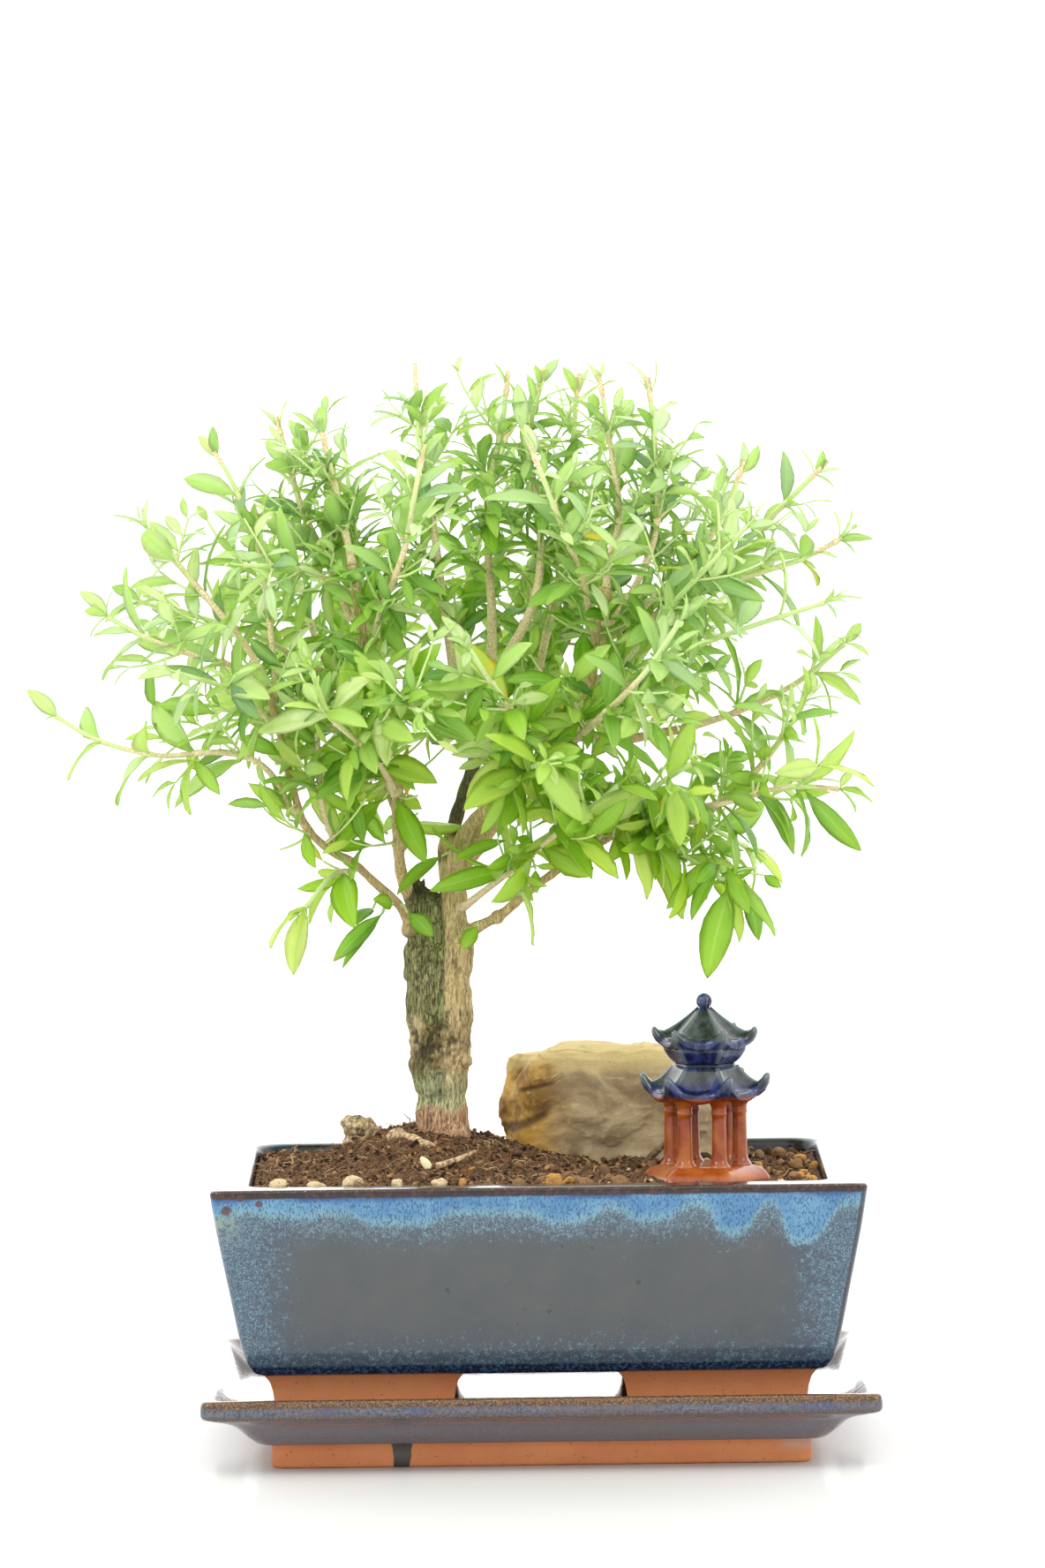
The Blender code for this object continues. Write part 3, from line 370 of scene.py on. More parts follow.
# The pot
# A slab-built clay pot, dipped in slate glaze, with a second pale blue glaze poured round the rim
# that has run down in scallops. Rim and corners break to brown; the feet under it are bare clay.

POT_HALF = (100.0 * MM, 75.0 * MM)
POT_RIM = 87.0
POT_ROWS = [    # inset from the rim, height, corner radius
    (30, 28.5, 3.5), (17, 28.5, 3.5), (15.2, 28.52, 3.5), (14.2, 28.65, 3.5), (13.2, 29.0, 3.5),
    (12.5, 29.6, 3.5), (12.0, 30.3, 3.5), (11.4, 31.2, 3.5), (10.5, 32.6, 3.5), (9.8, 34, 3.5),
    (8.8, 37.5, 3.5), (7.8, 42, 3.5), (6.9, 46.7, 3.5),
    (5.9, 52, 3.5), (3.6, 64, 3.5), (1.9, 73, 3.5), (1.1, 78, 3.5), (0.4, 82.4, 3.5), (0.25, 83.6, 3.5),
    (0.1, 84.8, 3.4), (0.0, 85.6, 3.2), (0.05, 86.1, 3.1), (0.3, 86.6, 3), (0.9, 86.93, 3), (1.8, 87, 3.5),
    (5.5, 87, 6), (9.4, 87, 8.4), (10.5, 86.88, 9), (11.2, 86.45, 9), (11.7, 85.7, 9), (12.0, 84, 9),
    (13.9, 74, 9), (20.3, 38.4, 9), (21.4, 37.2, 9), (24, 37, 9)]
UNDER_ROWS, WIDEST_ROW, TOP_ROW = 3, 20, 24     # bare clay before the first, the pot's inside after the last
RUST_SPOTS = [((-0.0950, -0.0744, 0.0810), 0.0019), ((-0.0905, -0.0746, 0.0848), 0.0014),
              ((-0.0850, -0.0743, 0.0830), 0.0013)]
# Where the pale glaze has run furthest: middle of the run along the front, half width and depth, in millimetres
FRONT_RUNS = [(-76, 9, 1.5), (-43, 13, 4.2), (-14, 10, 1.5), (9, 9, 4.2), (36, 8, 3.5),
              (60, 6.8, 8.8), (82.7, 7.6, 12.8)]


def pale_depth(x, y):
    """How far below the rim the pale glaze reaches at a place on the outline, in millimetres."""
    turn = math.atan2(y / POT_HALF[1], x / POT_HALF[0])
    depth = 8.2 + 1.0 * math.sin(9 * turn + 1.0) + 0.7 * math.sin(23 * turn) + 0.5 * math.sin(41 * turn + 2)
    if y < -0.5 * POT_HALF[1]:
        runs = sum(d * math.exp(-abs((x / MM - at) / wide) ** 4) for at, wide, d in FRONT_RUNS)
        return 8.0 - 1.2 * min(1, max(0, (x / MM - 42) / 8)) + 0.5 * math.sin(23 * turn) + runs
    return depth + 4 * max(0, math.sin(7 * turn + 0.4)) ** 4 + 3 * max(0, math.sin(11 * turn)) ** 6


pot_rings = [slab_outline(inset(POT_HALF, row[0]), row[2] * MM, row[1] * MM, (84, 64)) for row in POT_ROWS]
pot_mesh = lofted("glazed_pot", pot_rings, {
    "inside": [1.0 if i > TOP_ROW else 0.0 for i in range(len(POT_ROWS))],
    "under": [1.0 if i < UNDER_ROWS else 0.0 for i in range(len(POT_ROWS))]})
reaches = [pale_depth(x, y) for x, y, _ in pot_rings[WIDEST_ROW]]
painted(pot_mesh, "pale_reach", np.tile(reaches, len(pot_rings)))


def modified(mesh, kind, **settings):
    """The plain mesh that one modifier makes of a mesh; settings named Socket are a node group's inputs."""
    carrier = bpy.data.objects.new("carrier", mesh)
    bpy.context.scene.collection.objects.link(carrier)
    modifier = carrier.modifiers.new("change", kind)
    for key, value in settings.items():
        if key.startswith("Socket"):
            modifier[key] = value
        else:
            setattr(modifier, key, value)
    graph = bpy.context.evaluated_depsgraph_get()
    result = bpy.data.meshes.new_from_object(carrier.evaluated_get(graph), depsgraph=graph)
    bpy.data.objects.remove(carrier)
    return result


def drilled(mesh, middles, radius, low, high):
    """The mesh with plain round holes bored up through it."""
    builder = bmesh.new()
    for x, y in middles:
        bmesh.ops.create_cone(builder, cap_ends=True, segments=32, radius1=radius, radius2=radius, depth=high - low,
                              matrix=Matrix.Translation((x, y, (low + high) / 2)))
    drill_mesh = bpy.data.meshes.new("drill")
    builder.to_mesh(drill_mesh)
    builder.free()
    drill = bpy.data.objects.new("drill", drill_mesh)
    bpy.context.scene.collection.objects.link(drill)
    result = modified(mesh, "BOOLEAN", operation="DIFFERENCE", object=drill)
    bpy.data.objects.remove(drill)
    return result


DRAIN_HOLES, DRAIN_RADIUS = [(-0.045, 0), (0.045, 0)], 6 * MM
pot_mesh = drilled(pot_mesh, DRAIN_HOLES, DRAIN_RADIUS, 0.020, 0.045)
pot_mesh.name = "glazed_pot"


FOOT_INSET, FOOT_LONG, FOOT_DEEP, FOOT_WIDE = 16.0, 60, 36, 15


def foot_outline(side_x, side_y, shrink):
    """The plan of one corner foot, an L, drawn anticlockwise from above."""
    far_x, far_y = (half - (FOOT_INSET + shrink) * MM for half in POT_HALF)
    near_x, near_y = far_x - (FOOT_LONG - 2 * shrink) * MM, far_y - (FOOT_DEEP - 2 * shrink) * MM
    wide = (FOOT_WIDE - shrink) * MM
    ring = [(far_x, far_y), (near_x, far_y), (near_x, far_y - wide), (far_x - wide, far_y - wide),
            (far_x - wide, near_y), (far_x, near_y)]
    ring = [(side_x * x, side_y * y) for x, y in ring]
    return ring if side_x * side_y > 0 else ring[::-1]


def build_feet():
    """Four bare clay feet, cut straight, with softened edges."""
    builder = bmesh.new()
    for side_x, side_y in ((1, 1), (-1, 1), (-1, -1), (1, -1)):
        rows = []
        for z, shrink in ((17.3, 3.0), (19.5, 2.6), (23.5, 2.0), (26.3, 1.2), (28.0, 0.0), (29.5, -1.2)):
            rows.append([builder.verts.new((x, y, z * MM)) for x, y in foot_outline(side_x, side_y, shrink)])
        for low, high in zip(rows, rows[1:]):
            for i in range(6):
                builder.faces.new((low[i], low[(i + 1) % 6], high[(i + 1) % 6], high[i]))
        builder.faces.new(rows[0][::-1])
        builder.faces.new(rows[-1])
    sharp = [e for e in builder.edges if len(e.link_faces) == 2 and e.calc_face_angle(0) > 0.7]
    bmesh.ops.bevel(builder, geom=sharp, offset=0.7 * MM, segments=2, affect="EDGES")
    mesh = bpy.data.meshes.new("clay_feet")
    bmesh.ops.recalc_face_normals(builder, faces=builder.faces)
    builder.to_mesh(mesh)
    builder.free()
    mesh.shade_smooth()
    mesh.set_sharp_from_angle(angle=math.radians(40))
    return mesh


def growth_tree(name, *sockets):
    """An empty Geometry Nodes group with these inputs beside its geometry, and what it is given."""
    tree = bpy.data.node_groups.new(name, "GeometryNodeTree")
    for label, kind in (("Geometry", "Geometry"), *sockets):
        tree.interface.new_socket(label, in_out="INPUT", socket_type="NodeSocket" + kind)
    tree.interface.new_socket("Geometry", in_out="OUTPUT", socket_type="NodeSocketGeometry")
    return tree, tree.nodes.new("NodeGroupInput").outputs


def closed(tree, result):
    """The group, with its result led out."""
    tree.links.new(result, tree.nodes.new("NodeGroupOutput").inputs[0])
    return tree


def joined_mesh(name, parts):
    """One mesh from pairs of mesh and finish, which keeps the values painted on them."""
    tree, _ = growth_tree("join")
    joint = tree.nodes.new("GeometryNodeJoinGeometry")
    holders = []
    for mesh, finish in parts:
        mesh.materials.clear()
        mesh.materials.append(finish)
        mesh.polygons.foreach_set("material_index", [0] * len(mesh.polygons))
        holders.append(bpy.data.objects.new("holder", mesh))
        bpy.context.scene.collection.objects.link(holders[-1])
    for holder in reversed(holders):
        held = wire(tree, "GeometryNodeObjectInfo", named={"Object": holder}, output="Geometry")
        tree.links.new(held, joint.inputs[0])
    closed(tree, wire(tree, "GeometryNodeRealizeInstances", joint.outputs[0]))
    result = modified(bpy.data.meshes.new("carrier"), "NODES", node_group=tree)
    result.name = name
    for holder in holders:
        bpy.data.objects.remove(holder)
    return result


def surface(place, output):
    """The normal, 1, or how far the surface is an edge or a hollow, 7."""
    return wire(tree_of(place), "ShaderNodeNewGeometry", output=output)


def distance_to(place, point):
    return wire(tree_of(place), "ShaderNodeVectorMath", place, point, operation="DISTANCE", output=1)


def stretched(place, scale):
    return wire(tree_of(place), "ShaderNodeMapping", place, None, None, scale)


def build_pot_finish():
    """Slate glaze with fine pale hairs, and the pale blue glaze that has run down over it."""
    made, place = new_finish("pot_glaze", 0.2, Coat_Weight=0.3, Coat_Roughness=0.04, IOR=1.5)
    axes = axes_of(place)
    height = times(axes[2], 1000)
    across = calc("DIVIDE", calc("ABSOLUTE", axes[0]), POT_HALF[0])
    deep = calc("DIVIDE", calc("ABSOLUTE", axes[1]), POT_HALF[1])
    down = less(POT_RIM, height)
    runny = stretched(place, (1, 1, 0.45))
    blotch = noise(place, 95, 3, 0.6)
    fleck = noise(runny, 1900, 2.5, 0.6)
    # fine hairs of pale glaze: the contour lines of a noise, thinned out by a second one
    hair_field = noise(place, 1350, 1.5, 0.5, 0.4)
    hair = ramp(calc("ABSOLUTE", less(hair_field, 0.5)), 0.062, 0.016)
    patch = noise(place, 620, 2, 0.6)
    reach = times(paint_value(place, "pale_reach"), 0.45)
    near_pale = ramp(less(down, reach), 20.0, 3.5)
    near_end = ramp(across, 0.66, 0.93)
    near_side = ramp(deep, 0.66, 0.92)
    corner = times(near_end, near_side)
    near_foot = ramp(height, 48.0, 31.0)
    near_pale = calc("POWER", near_pale, 1.6)
    density = calc("MAXIMUM", near_pale, times(near_foot, 0.55))
    density = calc("MAXIMUM", density, times(corner, 0.8))
    density = plus(density, times(less(blotch, 0.5), 0.35))
    shown = ramp(plus(patch, times(density, 0.55)), 0.70, 0.88)
    hairs = times(hair, shown)
    slate = mixed(blotch, colour(96, 102, 106), colour(118, 122, 122))
    slate = mixed(corner, slate, colour(78, 104, 134), 0.8)
    slate = mixed(near_pale, slate, colour(84, 106, 130), 0.7)
    slate = mixed(near_foot, slate, colour(88, 106, 130), 0.6)
    pits = ramp(noise(place, 210, 1), 0.74, 0.79)
    slate = mixed(pits, slate, colour(54, 58, 58), 0.5)
    body = mixed(hairs, slate, colour(160, 204, 226), 0.8)
    dots = ramp(noise(place, 2300, 1.5), 0.56, 0.66)
    body = mixed(times(dots, density), body, colour(150, 196, 220), 0.5)
    arris_left = times(ramp(axes[0], -0.089, -0.094), ramp(height, 66, 80))
    body = mixed(times(arris_left, ramp(patch, 0.40, 0.56)), body, colour(196, 218, 196), 0.7)
    # the pale glaze: blue above, aqua at its lower fringe, pierced by the dark glaze below it
    wander = times(less(noise(place, 260, 3, 0.6), 0.5), 3.4)
    torn = times(less(noise(runny, 1500, 2, 0.6), 0.5), 6.5)
    depth = less(paint_value(place, "pale_reach"), plus(down, wander))
    pale = ramp(plus(depth, torn), -0.8, 1.4)
    fringe = ramp(depth, 4.5, 0.0)
    sky = mixed(ramp(blotch, 0.35, 0.65), colour(98, 170, 230), colour(136, 202, 246))
    sky = mixed(times(ramp(down, 4.6, 2.4), ramp(noise(place, 40, 2), 0.42, 0.6)), sky, colour(44, 104, 186))
    sky = mixed(fringe, sky, colour(166, 218, 228), 0.8)
    holes = ramp(fleck, 0.50, 0.60)
    sky = mixed(holes, sky, colour(44, 92, 140), 0.7)
    body = mixed(pale, body, sky)
    # a dark roll of glaze along the bottom edge, and brown where it is thin on rim and corners
    roll = ramp(plus(height, times(wander, 0.25)), 32.2, 31.3)
    roll_tone = mixed(ramp(noise(place, 900, 3, 0.7), 0.46, 0.62), colour(22, 42, 78), colour(78, 122, 164))
    body = mixed(roll, body, roll_tone)
    thin = ramp(plus(down, times(wander, 0.22)), 3.0, 2.2)
    outside = less(1.0, paint_value(place, "inside"))
    brown = mixed(ramp(noise(place, 700, 3, 0.7), 0.45, 0.65), colour(40, 20, 22), colour(96, 54, 48))
    body = mixed(times(thin, outside), body, brown)
    glint = ramp(noise(place, 1400, 2), 0.60, 0.70)
    crest = times(ramp(down, 0.75, 0.3), outside)
    body = mixed(crest, body, mixed(glint, colour(84, 56, 44), colour(190, 160, 130)))
    arris = surface(place, 7)
    body = mixed(times(corner, ramp(arris, 0.53, 0.62)), body, colour(58, 40, 60))
    lining = mixed(ramp(noise(place, 120, 3), 0.4, 0.62), colour(18, 24, 26), colour(46, 74, 92))
    body = mixed(paint_value(place, "inside"), body, lining)
    for spot, size in RUST_SPOTS:
        ragged = plus(distance_to(place, spot), times(wander, 0.0004))
        body = mixed(ramp(ragged, size, 0.6 * size), body, colour(112, 52, 32), 0.85)
    facing = axes_of(surface(place, 1))
    diagonal = calc("ABSOLUTE", times(facing[0], facing[1]))
    edge_line = times(ramp(axes[0], 0.078, 0.084), ramp(diagonal, 0.34, 0.46))
    body = mixed(edge_line, body, colour(48, 40, 48), 0.8)
    under = paint_value(place, "under")
    body = mixed(under, body, clay_colour(place))
    relief = less(plus(times(noise(place, 60, 3), 2.2), times(pale, 0.5)), times(pits, 0.5))
    return finished(made, body, relief, 0.10, 0.5, Roughness=plus(0.2, times(under, 0.6)))


def build_clay_finish():
    made, place = new_finish("bare_clay", 0.8)
    return finished(made, clay_colour(place), noise(place, 900, 4, 0.7), 0.15, 0.5)


settled("glazed_pot", joined_mesh("glazed_pot", [(pot_mesh, build_pot_finish()), (build_feet(), build_clay_finish())]),
        "pot_glaze", "pot")


# The soil
# Dark fibrous peat, heaped round the trunk, with baked clay granules and short root threads in it.
# Granules and threads are strewn over the surface by Geometry Nodes.

SOIL_LEVEL, FLOOR_TOP = 84.5, 37.3
ROCK_AT, ROCK_HALF = (25.0, 32.0), (35.5, 18.0)
PEBBLES = [(-80, -56), (-68, -58), (-57, -56), (-43, -58), (-30, -57), (-6, -58), (5, -56), (14, -58), (25, -55),
           (9, -48), (79, -38), (82, -22), (80, -4), (82, 16), (76, 32)]
PAGODA_AT, PAGODA_TURN = (52.0, -20.0), math.radians(-8)


def lattice_noise(points, seed):
    """Smooth noise between -1 and 1 at each point, on a lattice one unit wide."""
    cell = np.floor(points).astype(np.int64)
    share = points - cell
    share = share * share * (3 - 2 * share)
    total = np.zeros(len(points))
    for corner in range(8):
        bits = np.array([(corner >> axis) & 1 for axis in range(3)])
        mark = (cell + bits) @ np.array([73856093, 19349663, 83492791]) + seed * 7919
        mark = (mark ^ (mark >> 13)) * 1274126177
        mark = ((mark ^ (mark >> 16)) & 0xffff) / 32767.5 - 1
        total += np.prod(np.where(bits, share, 1 - share), axis=1) * mark
    return total


def rough_noise(points, octaves, seed):
    """Several octaves of the same noise, each half as strong as the one before."""
    return sum(lattice_noise(points * 2.03 ** k, seed + k) / 2 ** k for k in range(octaves))


def soil_height(x, y):
    """The soil's level in millimetres: low along the walls, a mound round the trunk."""
    mound = 11.5 * np.exp(-((x + 33) / 30) ** 2 - ((y - 8) / 42) ** 2)
    bed = 1.6 * np.exp(-((x - 30) / 45) ** 2 - ((y - 30) / 30) ** 2)
    rough = 0.55 * np.sin(x / 5.1 + 1.3) * np.sin(y / 4.3) + 0.4 * np.sin((x + y) / 3.1)
    edge = np.minimum(1, np.minimum((100 - np.abs(x) - 10.8) / 12, (75 - np.abs(y) - 10.8) / 12))
    return SOIL_LEVEL + (mound + bed + rough) * np.maximum(0, edge)


def pot_inside(z):
    """Half the width and depth of the pot's inside at a height."""
    share = (z - 37.0) / 50.0
    return 79.5 + share * 8.7, 54.5 + share * 8.7


def build_soil_mesh():
    """The soil's skin as a fine grid over the pot's inside, crumbled by noise, closed down to the pot's floor."""
    count_x, count_y = 236, 166
    half = np.array(pot_inside(SOIL_LEVEL)) - 0.25
    u, v = np.meshgrid(np.linspace(-1, 1, count_x), np.linspace(-1, 1, count_y), indexing="xy")
    x, y = u * half[0], v * half[1]
    over = np.stack([np.abs(x) - (half[0] - 9), np.abs(y) - (half[1] - 9)])
    reach = np.hypot(*over)
    pull = np.where((over > 0).all(0) & (reach > 9), 9 / np.maximum(reach, 1e-9), 1)
    x = np.where(pull < 1, np.copysign(half[0] - 9 + over[0] * pull, x), x)
    y = np.where(pull < 1, np.copysign(half[1] - 9 + over[1] * pull, y), y)
    flat = np.stack([x.ravel(), y.ravel(), np.zeros(x.size)], axis=1)
    clods = rough_noise(flat / 7.0, 2, 3)
    crumbs = rough_noise(flat / np.array([2.1, 2.1, 1]), 3, 8)
    fine = np.abs(lattice_noise(flat / 0.9, 21))
    across, deep = flat[:, 0], flat[:, 1]
    z = soil_height(across, deep) + 0.9 * clods + 1.15 * np.abs(crumbs) + 0.5 * fine - 0.75
    z += 2.4 * np.exp(-((across + 41) / 20) ** 2 - ((deep - 5) / 20) ** 2)
    z += 1.4 * np.exp(-((across + 54) / 10) ** 2 - ((deep - 7) / 14) ** 2)
    z -= 2.2 * np.clip((across - 60) / 12, 0, 1) * np.clip((deep + 45) / 30, 0, 1)
    z -= 1.8 * np.exp(-((across - 52) / 22) ** 2 - ((deep + 46) / 11) ** 2)
    inside = np.clip(np.minimum(half[0] - np.abs(flat[:, 0]), half[1] - np.abs(flat[:, 1])) / 3, 0, 1)
    z = SOIL_LEVEL - 0.4 + (z - SOIL_LEVEL + 0.4) * (0.4 + 0.6 * inside)
    top = np.stack([flat[:, 0], flat[:, 1], z], axis=1)
    low = top.copy()
    lower = np.array(pot_inside(FLOOR_TOP)) - 0.3
    low[:, 0] *= lower[0] / half[0]
    low[:, 1] *= lower[1] / half[1]
    low[:, 2] = FLOOR_TOP
    rows, columns = np.meshgrid(np.arange(count_y - 1), np.arange(count_x - 1), indexing="ij")
    first = (rows * count_x + columns).ravel()
    faces = np.stack([first, first + 1, first + 1 + count_x, first + count_x], axis=1).tolist()
    rim = list(range(count_x)) + [row * count_x + count_x - 1 for row in range(1, count_y)]
    rim += [(count_y - 1) * count_x + column for column in range(count_x - 2, -1, -1)]
    rim += [row * count_x for row in range(count_y - 2, 0, -1)]
    base = len(top)
    walls = [(rim[i], base + i, base + (i + 1) % len(rim), rim[(i + 1) % len(rim)]) for i in range(len(rim))]
    faces += walls + [tuple(base + i for i in range(len(rim)))[::-1]]
    mesh = bpy.data.meshes.new("peat")
    mesh.from_pydata((np.vstack([top, low[rim]]) * MM).tolist(), [], faces)
    painted(mesh, "loose", np.concatenate([inside, np.zeros(len(rim))]))
    mesh.shade_smooth()
    return mesh


def realized(tree, copies, finish):
    """The copies as real faces, all with one finish."""
    real = wire(tree, "GeometryNodeRealizeInstances", copies)
    return wire(tree, "GeometryNodeSetMaterial", real, None, finish)


def strewn_tree():
    """Strews copies of a few small shapes over a surface, turned and sized at random, and makes them one mesh."""
    tree, given = growth_tree("strewn", ("Shapes", "Collection"), ("Per square metre", "Float"), ("Smallest", "Float"),
                              ("Largest", "Float"), ("Lie flat", "Float"), ("Seed", "Int"), ("Finish", "Material"))
    seed = {"Seed": given["Seed"]}
    where = wire(tree, "GeometryNodeInputNamedAttribute", "where", data_type="FLOAT")
    density = calc("MULTIPLY", given["Per square metre"], where)
    spread = wire(tree, "GeometryNodeDistributePointsOnFaces",
                  named={"Mesh": given["Geometry"], "Density": density, **seed}, output="Points")
    spin = wire(tree, "FunctionNodeRandomValue", (-3.14,) * 3, (3.14,) * 3, named=seed, data_type="FLOAT_VECTOR")
    flat = wire(tree, "ShaderNodeCombineXYZ", given["Lie flat"], given["Lie flat"], 1.0)
    turn = wire(tree, "ShaderNodeVectorMath", spin, flat, operation="MULTIPLY")
    grow = wire(tree, "FunctionNodeRandomValue", data_type="FLOAT", output=1,
                named={2: given["Smallest"], 3: given["Largest"], **seed})
    shapes = wire(tree, "GeometryNodeCollectionInfo", given["Shapes"], True, True)
    placed = wire(tree, "GeometryNodeInstanceOnPoints", named={
        "Points": spread, "Instance": shapes, "Pick Instance": True, "Rotation": turn, "Scale": grow})
    shade = wire(tree, "FunctionNodeRandomValue", data_type="FLOAT", output=1, named={2: 0.0, 3: 1.0})
    kept = wire(tree, "GeometryNodeStoreNamedAttribute", placed, None, "shade", shade, data_type="FLOAT",
                domain="INSTANCE")
    return closed(tree, realized(tree, kept, given["Finish"]))


def grown(name, mesh, group, values):
    """The plain mesh that a Geometry Nodes group makes of a mesh with these input values."""
    sockets = {item.identifier: values[item.name] for item in group.interface.items_tree if item.name in values}
    result = modified(mesh, "NODES", node_group=group, **sockets)
    result.name = name
    return result


def shape_collection(name, meshes):
    """A collection of small shapes for the nodes to copy; it is removed once they have."""
    holder = bpy.data.collections.new(name)
    bpy.context.scene.collection.children.link(holder)
    for number, mesh in enumerate(meshes):
        holder.objects.link(bpy.data.objects.new(f"{name}_{number:02d}", mesh))
    return holder


def clear_collection(holder):
    for item in list(holder.objects):
        bpy.data.objects.remove(item)
    bpy.data.collections.remove(holder)


def granule_mesh(seed, squash, fineness=2, uneven=0.30):
    """A baked clay granule or a crumb: a lump with rounded, uneven sides, one unit in radius."""
    builder = bmesh.new()
    bmesh.ops.create_icosphere(builder, subdivisions=fineness, radius=1)
    for vert in builder.verts:
        place = np.array([vert.co]) * 1.1 + seed * 5.3
        broad, fine = (float(lattice_noise(place * share, seed)[0]) for share in (1, 2.7))
        vert.co *= 1 + uneven * broad + 0.16 * fine
        vert.co.z *= squash
        vert.co.x *= 1.2
    mesh = bpy.data.meshes.new("granule")
    builder.to_mesh(mesh)
    builder.free()
    mesh.shade_smooth()
    return mesh


def faced_out(mesh):
    """The mesh with every face turned outward."""
    fixed = bmesh.new()
    fixed.from_mesh(mesh)
    bmesh.ops.recalc_face_normals(fixed, faces=fixed.faces)
    fixed.to_mesh(mesh)
    fixed.free()
    return mesh


def thread_mesh(seed, length, thick):
    """A short crooked root thread with three sides, one unit long."""
    draw = random.Random(seed)
    points, place, heading = [], np.zeros(3), np.array([1.0, 0, 0.15])
    for _ in range(7):
        points.append(place.copy())
        heading = heading + np.array([draw.uniform(-.6, .6), draw.uniform(-.9, .9), draw.uniform(-.5, .35)])
        heading /= np.linalg.norm(heading)
        place = place + heading * length / 6
    rings = []
    for i, point in enumerate(points):
        wide = thick * (1.0 - 0.6 * abs(i - 2) / 4)
        side = np.cross(points[min(i + 1, 6)] - points[max(i - 1, 0)], (0.1, 0.2, 1))
        side /= np.linalg.norm(side)
        up = np.cross(side, points[min(i + 1, 6)] - points[max(i - 1, 0)])
        up /= np.linalg.norm(up)
        rings.append(np.array([point + wide * (math.cos(a) * side + math.sin(a) * up) for a in (0, 2.1, 4.2)]))
    return faced_out(lofted("thread", rings))


def build_soil_finish():
    """Peat between its fibres and crumbs, with a few tan chips."""
    made, place = new_finish("soil", 0.95, Specular_IOR_Level=0.25)
    fibre = noise(place, 900, 5, 0.75, 0.6)
    cloud = noise(place, 60, 3)
    tone = mixed(ramp(fibre, 0.34, 0.68), matt(40, 27, 19), matt(146, 110, 78))
    tone = mixed(ramp(cloud, 0.48, 0.64), tone, matt(124, 80, 50), 0.4)
    chip = ramp(noise(place, 520, 2, 0.5), 0.64, 0.70)
    tone = mixed(chip, tone, matt(176, 140, 104), 0.5)
    return finished(made, tone, fibre, 0.6, 1.0)


def build_granule_finish():
    """Baked clay granules, most dark, some ochre and a few pale."""
    made, place = new_finish("granules", 0.9)
    shade = paint_value(place, "shade")
    tone = mixed(ramp(shade, 0.0, 0.6), matt(74, 52, 36), matt(150, 112, 72))
    tone = mixed(ramp(shade, 0.74, 0.84), tone, matt(204, 150, 78))
    tone = mixed(ramp(shade, 0.94, 0.97), tone, matt(226, 202, 160))
    grain = noise(place, 1400, 4, 0.7)
    tone = mixed(ramp(grain, 0.5, 0.75), tone, matt(72, 48, 32))
    return finished(made, tone, grain, 0.3, 0.8)


def build_crumb_finish():
    """Crumbs of peat, from near black to the tan of dry fibre."""
    made, place = new_finish("peat_crumbs", 0.95, Specular_IOR_Level=0.2)
    shade = paint_value(place, "shade")
    tone = mixed(ramp(shade, 0.1, 0.7), matt(48, 33, 24), matt(128, 96, 68))
    tone = mixed(ramp(shade, 0.84, 0.94), tone, matt(186, 146, 104))
    grain = noise(place, 1800, 3, 0.7)
    tone = mixed(ramp(grain, 0.5, 0.7), tone, matt(56, 38, 26))
    return finished(made, tone, grain, 0.3, 0.8)


def build_pebbles():
    """The coarse granules that lie along the front wall and at the right, sunk to their middles."""
    rows, shades = [], []
    for number, (x, y) in enumerate(PEBBLES):
        draw = random.Random(40 + number)
        mesh = granule_mesh(number, 0.8, 3, 0.42)
        size = draw.uniform(1.8, 2.9) * MM * (0.65 if x > 60 else 1)
        turn = Matrix.Rotation(draw.uniform(0, 3), 4, "Z") @ Matrix.Rotation(draw.uniform(-0.5, 0.5), 4, "X")
        level = float(soil_height(np.array([x]), np.array([y]))[0]) * MM
        level += 0.5 * size + (0.7 * MM if y < -50 else 0)
        mesh.transform(Matrix.Translation((x * MM, y * MM, level)) @ turn @ Matrix.Scale(size, 4))
        rows.append(mesh)
        shades += [0.99 if x < -25 else draw.uniform(0.5, 0.95)] * len(mesh.vertices)
    merged = joined_mesh("rim_pebbles", [(mesh, granule_finish) for mesh in rows])
    painted(merged, "shade", shades)
    merged.shade_smooth()
    return merged


def build_thread_finish():
    made, place = new_finish("root_threads", 0.85)
    shade = paint_value(place, "shade")
    tone = mixed(shade, matt(104, 72, 48), matt(220, 176, 130))
    tone = mixed(ramp(shade, 0.86, 0.9), tone, matt(214, 180, 140))
    return finished(made, tone)


TRUNK_FOOT = (-29.5, 4.5)
peat = build_soil_mesh()
across, deep = np.array([v.co[:2] for v in peat.vertices]).T / MM
loose = np.array([item.value for item in peat.attributes["loose"].data])
on_rock = np.hypot((across - ROCK_AT[0]) / 36, (deep - ROCK_AT[1]) / 18.5) < 1
from_trunk = np.hypot(across - TRUNK_FOOT[0], deep - TRUNK_FOOT[1])
from_pagoda = np.hypot(across - PAGODA_AT[0], deep - PAGODA_AT[1])
by_pagoda = (from_pagoda < 19) | ((from_pagoda < 27) & (deep < -26))
open_soil = (loose > 0.3) & ~on_rock & ~by_pagoda & (from_trunk > 8)
granular = np.clip((across + 12) / 45, 0, 1) + np.clip((-deep - 46) / 12, 0, 1) * 0.5
fibrous = np.clip(1.25 - (across + 12) / 60, 0.25, 1)
strewn = strewn_tree()
granule_finish = build_granule_finish()
layers = {}
